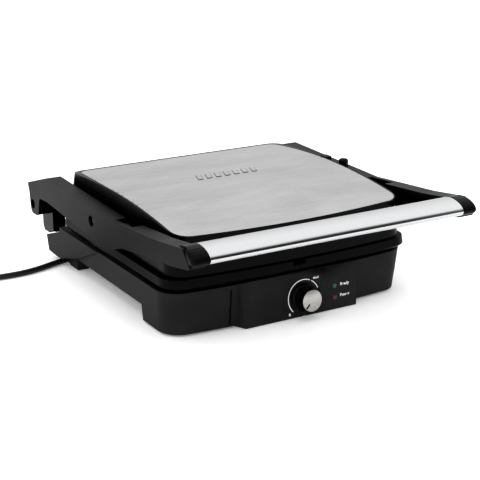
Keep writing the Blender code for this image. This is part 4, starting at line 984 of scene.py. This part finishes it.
# ---------------------------------------------------------------- arms and handle
class GRILL_OT_arms(bpy.types.Operator):
    """Handle arms with their pins and screws, and the release button"""
    bl_idname = "grill.arms"
    bl_label = "Arms"

    def execute(self, context):
        for side, sign in SIDES:
            moulded("handle_arm_" + side, "arm_" + side, 0.0006, 3, "arm_grey", "handle")
            finish_node("hinge_pin_" + side, "zinc")
            self.screw(side, sign)
        self.button()
        self.spring()
        return {"FINISHED"}

    def button(self):
        """Domed release button."""
        low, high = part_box("release_button")
        r = (high.x - low.x) / 2
        tall = high.z - low.z
        foot = (low + high) / 2
        foot.z = low.z
        place = Matrix.Translation(foot)
        dome = [(0.0, 0.0), (r, 0.0), (r, tall - 0.0042), (r * 0.985, tall - 0.0030),
                (r * 0.93, tall - 0.0019), (r * 0.80, tall - 0.0010), (r * 0.5, tall - 0.0003),
                (0.0, tall)]
        piece("lid_release", turned(dome, place, "lid_release", 48), "gloss_black", "button",
              ("release_button",), 50.0)

    def spring(self):
        """Coil spring under the button, on a copy of its mesh."""
        obj = piece("button_spring", NODES["release_spring"].data.copy(), "zinc", "handle",
                    ("release_spring",))
        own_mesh(obj)

    def screw(self, side, sign):
        """Pan-head screw with a cross recess, on which the lid rocks."""
        low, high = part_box("pivot_screw_" + side)
        tip = (low + high) / 2
        tip.x = low.x if sign > 0 else high.x
        place = facing(tip, (sign, 0.0, 0.0))
        full = high.x - low.x
        head = full - 0.0030
        shape = [(0.0, 0.0), (0.0022, 0.0), (0.0030, 0.0010), (0.0030, head), (0.0050, head),
                 (0.0052, head + 0.0003), (0.0050, head + 0.0013), (0.0042, head + 0.0022),
                 (0.0028, head + 0.0028), (0.0, full)]
        body = turned(shape, place, "screw", 40)
        tools = cross_recess((0.0052, 0.0009, 0.0032), place, full, 20.0)
        piece("rocking_screw_" + side, cut_by(body, tools), "zinc", "handle",
              ("pivot_screw_" + side,), 40.0)


class GRILL_OT_handle(bpy.types.Operator):
    """Polished handle bar between two black end caps"""
    bl_idname = "grill.handle"
    bl_label = "Handle"

    def execute(self, context):
        sizes = context.scene.grill_sizes
        low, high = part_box("handle_bar")
        centre = (low + high) / 2
        tilt, steps = sizes.bar_tilt, 144
        ey, ez = (high.y - low.y) / 2, (high.z - low.z) / 2
        total = ey ** 2 + ez ** 2
        split = (ey ** 2 - ez ** 2) / math.cos(2 * tilt)
        a, b = math.sqrt((total + split) / 2), math.sqrt((total - split) / 2)

        def oval(x, grow):
            """A section of the bar, whose half axes a and b fit its tilted outline to its box."""
            ring = []
            for i in range(steps):
                t = math.tau * i / steps
                u, v = (a + grow) * math.cos(t), (b + grow) * math.sin(t)
                ring.append((x, centre.y + u * math.cos(tilt) - v * math.sin(tilt),
                             centre.z + u * math.sin(tilt) + v * math.cos(tilt)))
            return ring

        wall, chamfer = sizes.bar_wall, 0.0003
        rings = [oval(low.x + chamfer, 0.0), oval(high.x - chamfer, 0.0), oval(high.x, -chamfer),
                 oval(high.x, -wall), oval(low.x, -wall), oval(low.x, -chamfer)]
        piece("bar", lofted(rings, "bar", closed=True), "bar", "handle", ("handle_bar",), 20.0)
        for side, _ in SIDES:
            moulded("bar_cap_" + side, "end_cap_" + side, 0.0004, 2, "lined_black", "handle",
                    0.3)
        return {"FINISHED"}


class GRILL_OT_screws(bpy.types.Operator):
    """Cross-head screws that hold the underside cover"""
    bl_idname = "grill.screws"
    bl_label = "Screws"

    def execute(self, context):
        for i in range(1, 5):
            node = f"cover_screw_{i}"
            low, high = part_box(node)
            top = (low + high) / 2
            top.z = high.z
            place = facing(top, -UP, BACK)
            tall = high.z - low.z
            head = turned([(0.0, 0.0), (0.0038, 0.0), (0.0038, 0.0003), (0.0035, 0.0010),
                           (0.0026, 0.0018), (0.0, tall)], place, "head", 40)
            tools = cross_recess((0.0040, 0.0008, 0.0024), place, tall, 15.0 * i)
            piece(f"base_screw_{i}", cut_by(head, tools), "zinc", "base", (node,), 40.0)
        return {"FINISHED"}


class GRILL_PT_panel(bpy.types.Panel):
    """Lists the operators and their settings"""
    bl_idname = "GRILL_PT_panel"
    bl_label = "Contact Grill"
    bl_space_type = "VIEW_3D"
    bl_region_type = "UI"
    bl_category = "Contact Grill"

    def draw(self, context):
        for group in (context.scene.grill_sizes, context.scene.grill_look):
            for key in group.bl_rna.properties.keys():
                if key not in ("rna_type", "name"):
                    self.layout.prop(group, key)
        for operator in OPERATORS:
            self.layout.operator(operator.bl_idname)


OPERATORS = (GRILL_OT_stage, GRILL_OT_cord, GRILL_OT_base, GRILL_OT_plates, GRILL_OT_dial, GRILL_OT_lid,
             GRILL_OT_arms, GRILL_OT_handle, GRILL_OT_screws)
CLASSES = (GrillLook, GrillSizes) + OPERATORS + (GRILL_PT_panel,)


def register():
    """Add the classes and their settings to Blender."""
    for cls in CLASSES:
        bpy.utils.register_class(cls)
    bpy.types.Scene.grill_look = bpy.props.PointerProperty(type=GrillLook)
    bpy.types.Scene.grill_sizes = bpy.props.PointerProperty(type=GrillSizes)


def unregister():
    """Take them out again."""
    del bpy.types.Scene.grill_sizes
    del bpy.types.Scene.grill_look
    for cls in reversed(CLASSES):
        bpy.utils.unregister_class(cls)


def main():
    """Build everything in order."""
    register()
    make_materials(bpy.context.scene.grill_look)
    for operator in OPERATORS:
        group, name = operator.bl_idname.split(".")
        getattr(getattr(bpy.ops, group), name)()


if __name__ == "__main__":
    main()
